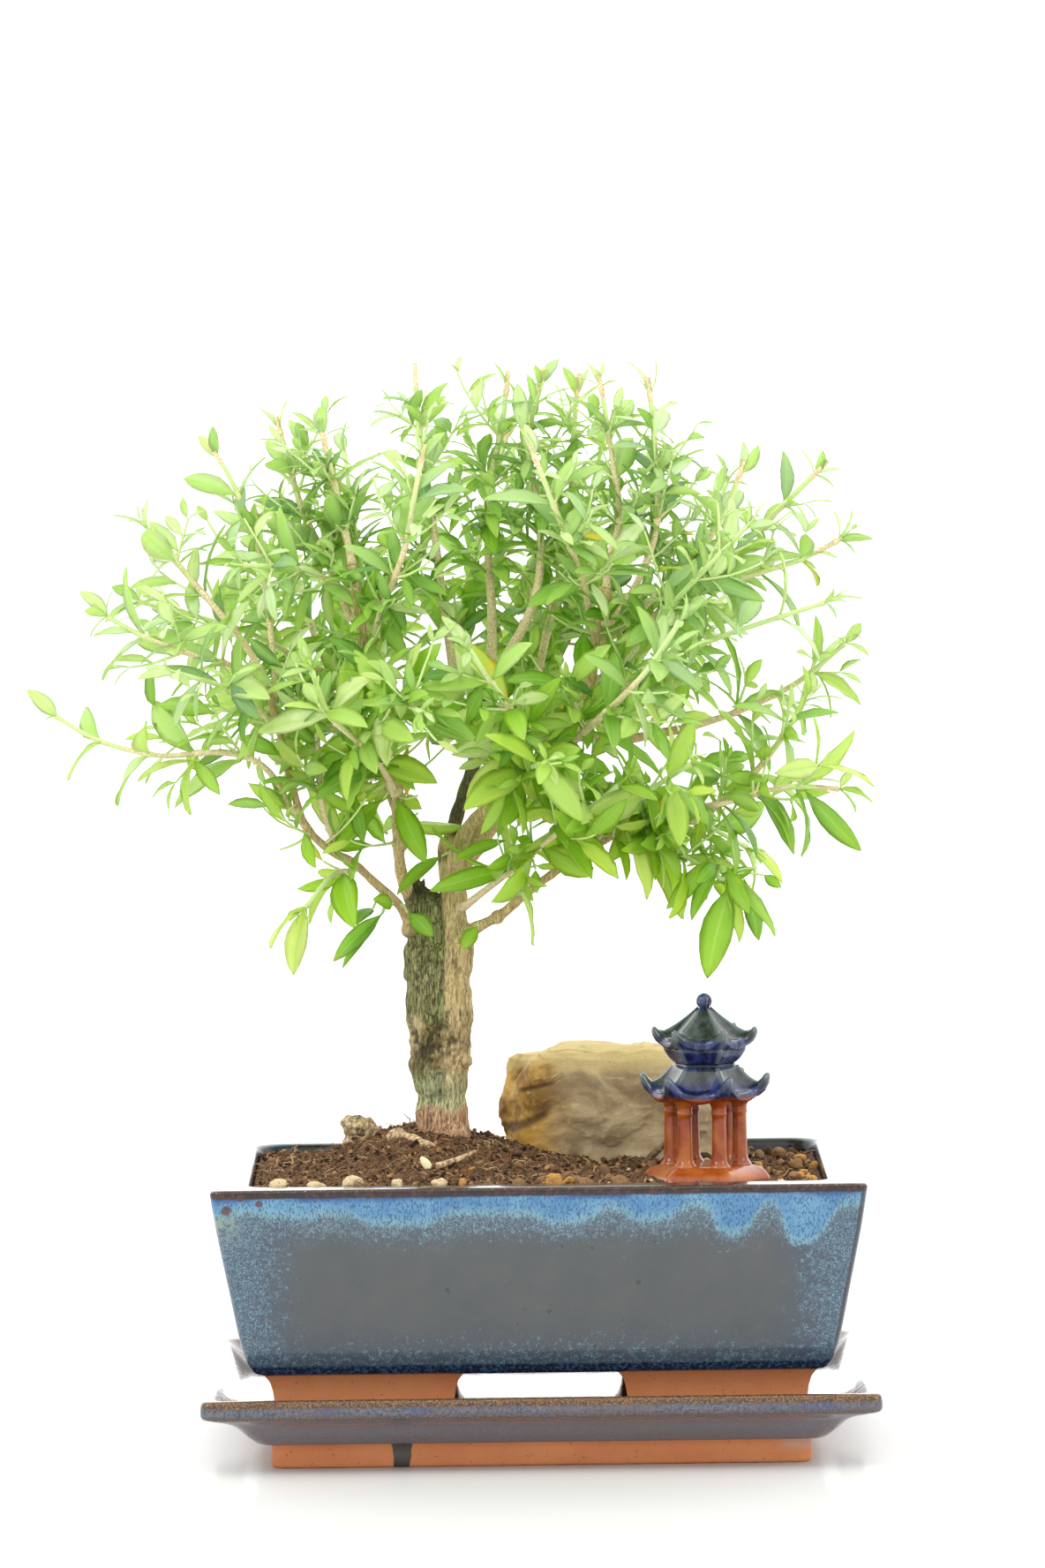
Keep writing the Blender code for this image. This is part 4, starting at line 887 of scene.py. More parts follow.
for name, finish, seed, per_metre, smallest, largest, lie_flat, where, shapes in (
        ("soil_granules", granule_finish, 4, 26000.0, 0.5, 1.9, 1.0, np.clip(granular, 0.06, 1),
         [granule_mesh(seed, 0.62 + 0.08 * seed) for seed in range(5)]),
        ("soil_crumbs", build_crumb_finish(), 6, 210000.0, 0.30, 0.95, 1.0, 1.0,
         [granule_mesh(seed, 0.75, 1, 0.45) for seed in range(6)]),
        ("root_threads", build_thread_finish(), 9, 130000.0, 2.2, 7.5, 0.12, fibrous,
         [thread_mesh(seed, 1.0, 0.022 + 0.006 * (seed % 3)) for seed in range(8)])):
    painted(peat, "where", open_soil * where)
    holder = shape_collection(name, shapes)
    layers[name] = grown(name, peat.copy(), strewn, {
        "Shapes": holder, "Per square metre": per_metre, "Smallest": smallest * MM, "Largest": largest * MM,
        "Lie flat": lie_flat, "Seed": seed, "Finish": finish})
    clear_collection(holder)
settled("peat", peat, "soil", "soil", finish=build_soil_finish())
for name in ("soil_granules", "root_threads", "soil_crumbs"):
    settled(name, layers[name], "soil")
settled("rim_pebbles", build_pebbles(), "soil", finish=granule_finish)


# The rock
# A weathered lump of sandstone with a broken left shoulder, stained ochre on the left and worn
# smooth and grey on the right.

ROCK_SEAT, ROCK_TOP = 84.3, 120.5
ROCK_PROFILE = (    # share of the rows, and the width and the rise there
    (0, 0.1, 0.22, 0.38, 0.52, 0.62, 0.70, 0.85, 1.0), (0.985, 0.99, 1.0, 0.99, 0.965, 0.925, 0.84, 0.5, 0.02),
    (0, 0.14, 0.3, 0.55, 0.78, 0.90, 0.965, 0.992, 1.0))
# Dark lines on the rock's left: height at the middle, slope, ends across and thickness, in metres
ROCK_CRACKS = [(0.1088, 0.24, -0.007, 0.007, 0.0011), (0.0990, 0.55, -0.014, 0.006, 0.0026)]


def build_rock_mesh():
    """The rock's skin: fine rings over its blunt plan, with chipped edges and low ledges."""
    around, rows = 220, 90
    rings = []
    for row in range(rows + 1):
        t = row / rows
        scale_row, rise = (np.interp(t, ROCK_PROFILE[0], column) for column in ROCK_PROFILE[1:])
        angle = 2 * np.pi * np.arange(around) / around
        c, s = np.cos(angle), np.sin(angle)
        blunt = (np.abs(c) ** 3 + np.abs(s) ** 3) ** (-1 / 3)
        wave = 1 + 0.05 * np.sin(3 * angle + 0.6) + 0.03 * np.sin(5 * angle)
        dx, dy = ROCK_HALF[0] * blunt * wave * c * scale_row, ROCK_HALF[1] * blunt * wave * s * scale_row
        across = dx / ROCK_HALF[0]
        step = 5.0 * np.clip((-across - 0.45) * 4, 0, 1) * max(0, rise - 0.5)
        lump = 0.9 * np.sin(dx / 6 + rise * 7) * np.sin(dy / 5 + rise * 4) * min(1, rise * 5)
        z = ROCK_SEAT + rise * (ROCK_TOP - ROCK_SEAT) - step - 1.5 * across * rise + lump * rise
        x, y = ROCK_AT[0] + dx + lump + 1.5 * rise * rise, ROCK_AT[1] + dy + lump + 2 * rise
        rings.append(np.stack([x, y, z], axis=1))
    points = np.vstack(rings)
    middle = np.array([ROCK_AT[0], ROCK_AT[1], 95.0])
    outward = points - middle
    outward /= np.linalg.norm(outward, axis=1)[:, None]
    facets = rough_noise(points / np.array([12.0, 12.0, 9.0]), 2, 40)
    ledges = np.abs(rough_noise(points / np.array([16.0, 16.0, 5.0]), 3, 52))
    grit = rough_noise(points / 1.6, 3, 61)
    free = np.clip((points[:, 2] - ROCK_SEAT) / 3, 0, 1)
    points = points + outward * ((1.1 * np.round(facets * 2.0) / 2.0 - 0.5 * ledges + 0.14 * grit) * free)[:, None]
    points[:, 2] = np.minimum(points[:, 2], 121.0)
    rings = [row * MM for row in np.split(points, rows + 1)]
    return lofted("sandstone_rock", rings)


def build_rock_finish():
    """Sandstone in grey and ochre, darker in its cracks."""
    made, place = new_finish("sandstone", 0.78, Specular_IOR_Level=0.4)
    axes = axes_of(place)
    layered = stretched(place, (0.7, 0.7, 1.1))
    band = noise(layered, 70, 4, 0.6, 0.8)
    wander = times(less(noise(place, 45, 3), 0.5), 0.03)
    left = ramp(plus(axes[0], wander), 0.014, -0.004)
    high = ramp(plus(axes[2], times(wander, 0.5)), 0.1125, 0.1175)
    grey = mixed(ramp(band, 0.36, 0.66), matt(150, 128, 94), matt(206, 186, 146))
    ochre = mixed(ramp(band, 0.40, 0.62), matt(150, 108, 44), matt(226, 182, 96))
    stain = ramp(noise(layered, 80, 3, 0.55, 1.0), 0.60, 0.66)
    ochre = mixed(stain, ochre, matt(96, 66, 28), 0.6)
    gold = ramp(noise(place, 38, 2), 0.54, 0.66)
    ochre = mixed(gold, ochre, matt(232, 176, 66), 0.6)
    tone = mixed(left, grey, ochre)
    tone = mixed(high, tone, matt(240, 214, 150), 0.75)
    # painted highlight: the convex edges are painted lighter
    edge = ramp(surface(place, 7), 0.505, 0.56)
    tone = mixed(edge, tone, matt(244, 220, 164), 0.5)
    for height, slope, first, last, thick in ROCK_CRACKS:
        line = plus(height, times(axes[0], slope))
        line = plus(line, times(wander, 0.12))
        off = calc("ABSOLUTE", less(axes[2], line))
        span = times(ramp(axes[0], first, first + 0.003), ramp(axes[0], last, last - 0.004))
        crack = times(ramp(off, thick, 0.2 * thick), span)
        tone = mixed(crack, tone, matt(74, 50, 24), 0.8)
    grain = noise(place, 1500, 4, 0.75)
    tone = mixed(ramp(grain, 0.5, 0.7), tone, matt(70, 54, 34), 0.22)
    return finished(made, tone, plus(grain, times(band, 0.8)), 0.35, 0.7)


settled("sandstone_rock", build_rock_mesh(), "sandstone", "rock", finish=build_rock_finish())


# The pagoda
# A pressed and fired garden ornament: six columns on a plinth, two roofs with swept corners and a
# ball. The roofs carry thick cobalt glaze, worn pale on the ridges; the rest is red-brown glaze. Edges are painted
# lighter and hollows and the neck's waist darker, as highlight and shade.

EAVE_LOW, EAVE_HIGH, NECK_TOP = 108.6, 124.6, 136.6
PLINTH_TOP, PAGODA_SEAT, COLUMN_RING = 88.0, 82.2, 10.6


def six_sided(radius, z, corner_up=0.0, middle=None, ridge=0.0, wide=0.24, sag=0.0):
    """A six-sided outline: round corners lifted and ridged, sides drawn in to the middle and let down there."""
    flat = radius * math.cos(math.pi / 6) if middle is None else middle
    ring = []
    for i in range(144):
        angle = 2 * math.pi * i / 144
        off = (angle + math.pi / 6) % (math.pi / 3) - math.pi / 6
        share = abs(off) / (math.pi / 6)
        corner = math.exp(-(share / wide) ** 2)
        reach = flat / math.cos(math.pi / 6 - abs(off)) + (radius - flat / math.cos(math.pi / 6)) * corner
        reach += ridge * math.exp(-(share / 0.12) ** 2) * 0.5
        lift = corner_up * corner + ridge * math.exp(-(share / 0.15) ** 2)
        lift -= sag * 0.5 * (1 - math.cos(math.pi * share))
        angle += PAGODA_TURN
        ring.append((PAGODA_AT[0] + reach * math.cos(angle), PAGODA_AT[1] + reach * math.sin(angle), z + lift))
    return np.array(ring) * MM


def round_ring(middle, radius, z):
    """A circle of points about a place."""
    turn = 2 * np.pi * np.arange(24) / 24
    x, y = middle[0] + radius * np.cos(turn), middle[1] + radius * np.sin(turn)
    return np.stack([x, y, np.full(24, z)], axis=1) * MM


def roof_rows(under, eave, reach, shell, neck_z, neck, curl):
    """The rows of one roof from the hollow under its eaves, over the thick lip and up the hollow slope."""
    middle = reach * 0.76
    rows = [six_sided(under * 0.5, eave - 0.2), six_sided(under * 0.8, eave - 0.6), six_sided(under, eave - 0.5)]
    for wide_share, up, lift, side, ridge, wide, sag in (
            (0.84, -0.2, 0.15, 0.95, 0.0, 0.45, 0.8), (0.93, 0.2, 0.40, 1.00, 0.0, 0.38, 1.2),
            (0.985, 1.0, 0.70, 1.03, 0.1, 0.32, 1.4), (1.0, 1.9, 0.92, 1.04, 0.2, 0.28, 1.4),
            (0.985, 2.7, 1.00, 1.02, 0.2, 0.25, 1.2), (0.94, 3.1, 0.90, 0.98, 0.4, 0.25, 1.0),
            (0.89, 2.9, 0.60, 0.93, 0.6, 0.29, 0.8)):
        rows.append(six_sided(reach * wide_share, eave + up, lift * curl, middle * side, ridge, wide, sag))
    for t in (0.12, 0.25, 0.4, 0.55, 0.7, 0.85, 1.0):
        size = reach * 0.84 + (neck - reach * 0.84) * t
        hollow = eave + 2.5 + (neck_z - eave - 2.5) * (t ** 1.55 * 0.55 + t * 0.45)
        hollow += (shell - 5.6) * t * (1 - t)
        rows.append(six_sided(size, hollow, 0.36 * curl * (1 - t) ** 2, size * (0.80 + 0.066 * t), 0.7 * (1 - 0.5 * t),
                              0.36, 0.7 * (1 - t)))
    return rows


def build_pagoda_mesh(red_glaze, blue_glaze):
    """Plinth and columns in red-brown glaze; both roofs, the neck between them and the ball in blue."""
    red, blue = [], []
    plinth = [six_sided(radius, PAGODA_SEAT + up, *more) for radius, up, *more in (
        (14, 0), (20, 0), (20.2, 0.5), (20.15, 1.2), (19.6, 2.2, 0, 17.2), (18.3, 3.6, 0.1, 16, 0.15),
        (16.6, 4.6, 0.1, 14.5, 0.2), (15, 5.3, 0, 13.1), (14, 5.7), (12.5, 5.8), (6, 5.5))]
    red.append(lofted("plinth", plinth))
    for i in range(6):
        turn = PAGODA_TURN + math.pi * i / 3
        middle = (PAGODA_AT[0] + COLUMN_RING * math.cos(turn), PAGODA_AT[1] + COLUMN_RING * math.sin(turn))
        sway = 1 + 0.02 * np.sin(4 * np.pi * np.arange(24) / 24 + i)
        rings = [round_ring(middle, radius * sway, PLINTH_TOP + up) for radius, up in (
            (3.9, -0.8), (3.5, 0.2), (2.9, 0.9), (2.5, 1.8), (2.35, 4), (2.25, 9), (2.2, 14), (2.2, 15.6),
            (2.45, 16.1), (2.45, 16.6), (2.3, 17.0), (2.4, 18.2), (2.9, 19.4), (3.7, 20.5), (4.7, 21.6))]
        red.append(lofted("column", rings))
    blue.append(lofted("low_roof", roof_rows(14, EAVE_LOW, 20.2, 5.6, 118.4, 10.2, 4.6)))
    funnel = ((9.8, 116), (9.7, 118.0), (9.1, 118.7), (9.1, 119.2), (9.9, 119.7), (11.0, 120.7), (11.9, 121.9),
              (12.7, 123.2), (12.9, 124.6))
    blue.append(lofted("neck", [six_sided(radius, z, 0, radius * 0.84, 0, 0.5) for radius, z in funnel]))
    blue.append(lofted("high_roof", roof_rows(12.2, EAVE_HIGH, 16.4, 6.2, NECK_TOP - 0.3, 1.9, 2.7)))
    turns = [-math.pi / 2 + math.pi * k / 12 for k in range(13)]
    ball = [round_ring(PAGODA_AT, 2.5 * max(0.02, math.cos(a)), NECK_TOP + 1.75 + 2.5 * math.sin(a)) for a in turns]
    blue.append(lofted("ball", ball))
    return joined_mesh("fired_pagoda", [(mesh, red_glaze) for mesh in red] + [(mesh, blue_glaze) for mesh in blue])


def build_red_glaze():
    made, place = new_finish("red_brown_glaze", 0.22, Coat_Weight=0.25, Coat_Roughness=0.06, IOR=1.45)
    cloud = noise(place, 120, 4, 0.6)
    tone = mixed(ramp(cloud, 0.35, 0.66), colour(196, 80, 22), colour(238, 130, 52))
    # painted light: convex edges are painted lighter as a highlight, and hollows darker as shade
    edge = ramp(surface(place, 7), 0.51, 0.58)
    tone = mixed(edge, tone, colour(250, 160, 90), 0.7)
    pool = ramp(surface(place, 7), 0.49, 0.44)
    tone = mixed(pool, tone, colour(92, 30, 16), 0.6)
    return finished(made, tone, cloud, 0.3, 0.5)


def build_blue_glaze():
    made, place = new_finish("cobalt_glaze", 0.24, Coat_Weight=0.25, Coat_Roughness=0.05, IOR=1.45)
    axes = axes_of(place)
    cloud = noise(place, 75, 2, 0.5, 0.3)
    streak = noise(stretched(place, (1, 1, 0.3)), 380, 3, 0.6)
    angle = calc("ARCTAN2", less(axes[1], PAGODA_AT[1] * MM), less(axes[0], PAGODA_AT[0] * MM))
    turned = plus(angle, 4 * math.pi + math.pi / 6 - PAGODA_TURN)
    off = less(calc("MODULO", turned, math.pi / 3), math.pi / 6)
    ridge = ramp(calc("ABSOLUTE", off), 0.115, 0.025)
    deep = mixed(ramp(streak, 0.4, 0.62), colour(24, 30, 82), colour(58, 74, 146))
    green = mixed(ramp(streak, 0.35, 0.65), colour(46, 54, 54), colour(90, 102, 102))
    lips = plus(times(ramp(axes[2], 0.1285, 0.1255), ramp(axes[2], 0.117, 0.1185)),
                ramp(axes[2], 0.1135, 0.1105), ramp(axes[2], 0.1350, 0.1368))
    front = ramp(axes[1], PAGODA_AT[1] * MM - 0.010, PAGODA_AT[1] * MM - 0.013)
    front = times(front, ramp(axes[2], 0.121, 0.119))
    cobalt = plus(lips, front, times(less(cloud, 0.5), 1.6))
    tone = mixed(ramp(cobalt, 0.25, 0.70), green, deep)
    # pale on ridges and edges: partly the glaze worn thin on the ridges, partly painted highlight along the convex
    # edges
    edge = ramp(plus(surface(place, 7), times(less(streak, 0.5), 0.12)), 0.525, 0.60)
    worn = calc("MAXIMUM", times(edge, 0.75), times(ridge, 0.7, ramp(axes[2], 0.112, 0.115)))
    tone = mixed(worn, tone, colour(160, 178, 184), 0.75)
    # painted shade: the narrow waist of the neck under the high roof is painted near black
    waist = times(ramp(axes[2], 0.1182, 0.1186), ramp(axes[2], 0.1198, 0.1194))
    tone = mixed(waist, tone, colour(16, 18, 40), 0.9)
    under = ramp(axes_of(surface(place, 1))[2], -0.55, -0.85)
    under = times(under, ramp(axes[2], 0.113, 0.112))
    low = ramp(axes[2], 0.1098, 0.1090)
    tone = mixed(under, tone, colour(150, 60, 30), 0.9)
    tone = mixed(low, tone, colour(168, 70, 34))
    return finished(made, tone, plus(cloud, times(streak, 0.4)), 0.35, 0.5)


settled("fired_pagoda", build_pagoda_mesh(build_red_glaze(), build_blue_glaze()), "pagoda_glaze", "pagoda")


# Trunk and limbs
# Two stems grown together: an old grey-green one with fissured bark, dead at its top, and a younger
# tan one beside it, from whose fork the limbs spring. Limbs are given as across, deep, up, radius.

LIMBS = {
    "old_trunk": [
        (-30, 5, 86, 7.4), (-30, 5, 94, 7.2), (-31, 5, 101, 6.7), (-31, 5, 107, 6.3), (-32, 5, 117, 7.0),
        (-32, 5, 130, 7.9), (-33, 5, 145, 7.7), (-33, 5, 157, 7.0), (-34, 5, 166, 6.0), (-35, 5, 171, 4.6)],
    "tan_trunk": [
        (-27, 4, 87, 6.4), (-27, 3, 94, 6.2), (-27, 3, 105, 5.4), (-26, 2, 116, 5.0), (-25, 1, 129, 5.2),
        (-25, 1, 144, 5.2), (-24, 1, 154, 5.0), (-25, 2, 162, 4.3), (-25, 3, 170, 3.9), (-26, 4, 181, 4.0),
        (-26, 6, 188, 3.0)],
    "old_leader": [
        (-26, 5, 182, 3.2), (-25, 7, 190, 2.3), (-22, 9, 200, 2.1), (-18, 10, 212, 2.0), (-20, 10, 223, 1.9),
        (-18, 10, 229, 2.5), (-15, 10, 235, 3.4), (-13, 10, 242, 3.0)],
    "rear_limb": [
        (-24, 6, 177, 3.4), (-18, 14, 186, 3.6), (-11, 20, 194, 3.0), (-8, 24, 203, 2.5), (-6, 28, 212, 2.2),
        (6, 36, 218, 2.0), (16, 38, 217, 1.8), (29, 40, 216, 1.6), (47, 38, 219, 1.4)],
    "front_limb": [
        (-26, 2, 176, 3.0), (-20, -4, 192, 2.2), (-9, -8, 201, 2.0), (0, -10, 207, 1.8), (8, -12, 215, 1.7),
        (14, -13, 225, 1.7), (18, -14, 238, 1.9), (20, -15, 251, 1.7), (23, -16, 265, 1.6)],
    "left_limb": [
        (-36, 4, 164, 2.8), (-41, 0, 177, 1.9), (-42, -6, 191, 1.9), (-42, -10, 206, 2.0), (-45, -12, 219, 1.9),
        (-47, -13, 230, 1.9), (-51, -14, 245, 1.8), (-53, -13, 260, 1.6), (-55, -12, 274, 1.4)],
    "low_left_limb": [
        (-37, 3, 159, 2.4), (-42, -4, 168, 1.5), (-49, -8, 175, 1.4), (-56, -12, 182, 1.3),
        (-63, -15, 186, 1.3), (-71, -18, 195, 1.3), (-75, -18, 210, 1.2), (-80, -16, 231, 1.2), (-83, -15, 240, 1.2)],
    "low_right_limb": [
        (-23, 1, 158, 2.2), (-11, 0, 164, 1.6), (-1, -2, 172, 1.3), (10, -4, 180, 1.3), (26, -8, 190, 1.3),
        (34, -10, 195, 1.3), (48, -14, 194, 1.2)],
    "rear_riser": [(-8, 24, 204, 2.0), (-2, 38, 217, 1.6), (6, 52, 236, 1.4), (17, 62, 256, 1.2)],
    "rear_left_riser": [(-42, -8, 198, 1.9), (-49, 14, 212, 1.5), (-57, 32, 228, 1.3), (-66, 44, 244, 1.1)],
}
KNOTS = [(22.5, -16.5, 264, 3.0), (-11.5, -0.5, 163.6, 2.3), (-39, -1, 160, 2.6), (-27, -2.4, 128, 2.6),
         (-32, -1.4, 121, 2.2),
         (-22, -1.9, 119, 2.0), (-24, -3.0, 132, 1.6), (-15, 10, 236, 3.8), (-41.5, -5, 187, 2.6), (-7, 24, 205, 3.0)]


def smooth_path(points, step):
    """Places and radii about a step apart on a smooth curve through the points."""
    knots = np.array([point[:4] for point in points], float) * MM
    padded = np.vstack([2 * knots[0] - knots[1], knots, 2 * knots[-1] - knots[-2]])
    found = []
    for i in range(len(knots) - 1):
        a, b, c, d = padded[i:i + 4]
        count = max(1, round(float(np.linalg.norm(c[:3] - b[:3])) / step))
        for t in np.arange(count) / count:
            found.append(0.5 * (2 * b + (c - a) * t + (2 * a - 5 * b + 4 * c - d) * t ** 2
                                + (3 * b - a - 3 * c + d) * t ** 3))
    found.append(knots[-1])
    return np.array(found)


def round_wood_tree():
    """Sweeps a ring along chains of points that carry a thickness, and closes both ends."""
    tree, given = growth_tree("round_wood", ("Sides", "Int"), ("Finish", "Material"))
    return closed(tree, realized(tree, swept_ring(tree, given["Geometry"], given["Sides"]), given["Finish"]))


def swept_ring(tree, chains, sides):
    """A closed round skin along chains of points that carry their thickness."""
    line = wire(tree, "GeometryNodeMeshToCurve", chains)
    thick = wire(tree, "GeometryNodeInputNamedAttribute", "thickness", data_type="FLOAT")
    ring = wire(tree, "GeometryNodeCurvePrimitiveCircle", sides, named={"Radius": 1.0}, mode="RADIUS")
    return wire(tree, "GeometryNodeSetShadeSmooth", wire(tree, "GeometryNodeCurveToMesh", line, ring, thick, True))


def chained(paths):
    """The points of all paths in one list, and the edges along each path."""
    edges, start = [], 0
    for path in paths:
        edges += [(start + i, start + i + 1) for i in range(len(path) - 1)]
        start += len(path)
    return np.vstack([path[:, :3] for path in paths]), edges


def chain_mesh(name, paths):
    """Chains of points joined by edges, each point with its thickness."""
    points, edges = chained(paths)
    mesh = bpy.data.meshes.new(name)
    mesh.from_pydata(points.tolist(), edges, [])
    painted(mesh, "thickness", np.concatenate([path[:, 3] for path in paths]))
    return mesh


def remeshed(mesh, voxel):
    """One skin round everything in the mesh."""
    return modified(mesh, "REMESH", mode="VOXEL", voxel_size=voxel)


def nearest_wood(points, paths):
    """How far each point lies outside each path's skin, and how stout that wood is there."""
    apart, stout = np.ones((len(paths), len(points))), np.zeros((len(paths), len(points)))
    for i, path in enumerate(paths):
        for row in path:
            gap = np.linalg.norm(points - row[:3], axis=1) - row[3]
            closer = gap < apart[i]
            apart[i, closer], stout[i, closer] = gap[closer], row[3]
    return apart, stout


def skin_of(mesh):
    """The places of a mesh's points, and the directions out of its surface there."""
    places, normals = np.zeros(len(mesh.vertices) * 3), np.zeros(len(mesh.vertices) * 3, np.float32)
    mesh.vertices.foreach_get("co", places)
    mesh.vertex_normals.foreach_get("vector", normals)
    return places.reshape(-1, 3), normals.reshape(-1, 3)


def build_trunk_mesh():
    """Trunk and limbs swept and grown into one skin, with knots, fissures and a ragged dead top."""
    round_wood = round_wood_tree()
    paths = []
    for name, points in LIMBS.items():
        path = smooth_path(points, 1.5 * MM)
        phase = len(name)
        run = np.arange(len(path))
        path[:, 3] *= 1 + 0.05 * np.sin(run * 0.55 + phase) + 0.04 * np.sin(run * 1.3 + 2 * phase)
        paths.append(path)
    skins = grown("limbs", chain_mesh("limbs", paths), round_wood, {"Sides": 20})
    builder = bmesh.new()
    builder.from_mesh(skins)
    for x, y, z, radius in KNOTS:
        bmesh.ops.create_icosphere(builder, subdivisions=3, radius=radius * MM,
                                   matrix=Matrix.Translation((x * MM, y * MM, z * MM)))
    draw = random.Random(12)
    for _ in range(9):     # splinters that stand up on the dead top
        turn, out = draw.uniform(0, 6.28), draw.uniform(0.5, 3.6)
        base = Vector((-35 + out * math.cos(turn), 5 + out * math.sin(turn), 168)) * MM
        tall = draw.uniform(4.5, 8.5) * MM
        lean = Matrix.Rotation(draw.uniform(-0.25, 0.25), 4, "X") @ Matrix.Rotation(draw.uniform(-0.3, 0.2), 4, "Y")
        bmesh.ops.create_cone(builder, cap_ends=True, segments=8, radius1=1.3 * MM, radius2=0.4 * MM, depth=tall,
                              matrix=Matrix.Translation(base + Vector((0, 0, tall / 2))) @ lean)
    mixed_mesh = bpy.data.meshes.new("limbs")
    builder.to_mesh(mixed_mesh)
    builder.free()
    mesh = remeshed(mixed_mesh, 0.55 * MM)
    points, normals = skin_of(mesh)
    apart, stout = nearest_wood(points, paths)
    is_old = np.array([name in ("old_trunk", "old_leader") for name in LIMBS])
    is_pink = np.array([name in ("low_left_limb", "rear_limb") for name in LIMBS])
    old = np.clip(0.5 + (apart[~is_old].min(axis=0) - apart[is_old].min(axis=0) + 1.2 * MM) / (1.4 * MM), 0, 1)
    pinkish = np.clip(0.5 + (apart[~is_pink].min(axis=0) - apart[is_pink].min(axis=0)) / (1.4 * MM), 0, 1)
    size = stout[np.argmin(apart, axis=0), np.arange(len(points))]
    at = points / MM
    thick = np.clip((size / MM - 2.0) / 4.0, 0, 1)
    fissure = np.abs(rough_noise(at / np.array([1.2, 1.2, 8.0]), 2, 70)) ** 0.8
    plates = rough_noise(at / np.array([2.0, 2.0, 6.0]), 2, 81)
    knobs = rough_noise(at / 2.2, 3, 90)
    knobby = np.exp(-((at[:, 2] - 125) / 8.0) ** 2) * thick
    relief = thick * (0.7 * fissure - 0.35 + 0.12 * plates) + knobby * 0.6 * knobs + (1 - thick) * 0.12 * plates
    flare = np.clip((98 - at[:, 2]) / 7, 0, 1) * thick
    turn = np.arctan2(at[:, 1] - TRUNK_FOOT[1], at[:, 0] - TRUNK_FOOT[0])
    relief = relief + flare * (0.35 + 0.4 * np.sin(turn * 9 + 1))
    mesh.vertices.foreach_set("co", (points + normals * (relief * MM)[:, None]).ravel())
    painted(mesh, "old_bark", old)
    painted(mesh, "pinkish", pinkish)
    painted(mesh, "stout", thick)
    # painted shade: the deepest fissures and the crevices between knobs are marked to be painted darker
    cracked = np.clip((0.16 - fissure) / 0.12, 0, 1) * thick
    painted(mesh, "hollow", np.clip(cracked * 0.8 + knobby * np.clip(-2.4 * knobs - 0.1, 0, 1), 0, 1))
    mesh.shade_smooth()
    return mesh, round_wood


def build_bark():
    """Old grey-green bark and younger tan bark, with moss, dark fissures and painted shade in its hollows."""
    made, place = new_finish("bark", 0.88, Specular_IOR_Level=0.3)
    axes = axes_of(place)
    fibre = noise(stretched(place, (1, 1, 0.11)), 1600, 4, 0.7)
    hair = noise(stretched(place, (1, 1, 0.08)), 3500, 2, 0.6)
    cloud = noise(stretched(place, (1, 1, 0.5)), 130, 4, 0.6)
    crack = noise(stretched(place, (1, 1, 0.10)), 1000, 3, 0.6)
    crack = ramp(calc("ABSOLUTE", less(crack, 0.5)), 0.050, 0.012)
    fibre = plus(times(fibre, 0.6), times(hair, 0.4))
    old = mixed(ramp(fibre, 0.40, 0.62), matt(112, 110, 68), matt(196, 194, 138))
    old = mixed(ramp(cloud, 0.50, 0.64), old, matt(170, 176, 110), 0.5)
    young = mixed(ramp(fibre, 0.40, 0.60), matt(186, 158, 106), matt(250, 228, 170))
    young = mixed(ramp(cloud, 0.5, 0.68), young, matt(232, 200, 164), 0.4)
    age = plus(paint_value(place, "old_bark"), times(less(cloud, 0.5), 0.7))
    age = ramp(age, 0.35, 0.65)
    tone = mixed(age, young, old)
    tone = mixed(paint_value(place, "pinkish"), tone, matt(206, 170, 132), 0.35)
    stout = paint_value(place, "stout")
    lines = times(crack, plus(0.25, times(age, 0.5)))
    tone = mixed(times(lines, stout), tone, matt(56, 52, 36))
    wander = times(less(cloud, 0.5), 0.012)
    level = plus(axes[2], wander)
    burr = times(ramp(level, 0.1345, 0.130), ramp(level, 0.114, 0.118))
    burr = times(burr, stout, 0.6)
    tone = mixed(burr, tone, mixed(ramp(cloud, 0.44, 0.58), matt(232, 204, 154), matt(140, 120, 80)))
    moss = times(ramp(level, 0.117, 0.113), ramp(level, 0.101, 0.105))
    moss = times(moss, stout, 0.8)
    tone = mixed(moss, tone, mixed(ramp(fibre, 0.42, 0.60), matt(134, 142, 96), matt(216, 220, 172)))
    foot = times(ramp(level, 0.106, 0.102), stout, 0.9)
    tone = mixed(foot, tone, mixed(ramp(fibre, 0.42, 0.60), matt(164, 118, 84), matt(246, 206, 168)))
    # painted shade in the sunk fissures and crevices
    tone = mixed(paint_value(place, "hollow"), tone, matt(46, 40, 26), 0.85)
    dead = times(ramp(axes[2], 0.166, 0.172), paint_value(place, "old_bark"))
    tone = mixed(dead, tone, mixed(fibre, matt(34, 30, 24), matt(110, 96, 76)), 0.75)
    return finished(made, tone, less(fibre, times(crack, 0.4)), 0.5, 0.9)


bark = build_bark()
trunk_mesh, round_wood = build_trunk_mesh()
settled("barked_trunk", trunk_mesh, "bark", "trunk", finish=bark)


# Loose wood on the soil
# A knobbly root stub, a bleached surface root, a fallen twig and a dry stalk, all barkless and grey
# to tan, with a pale seed beside them.

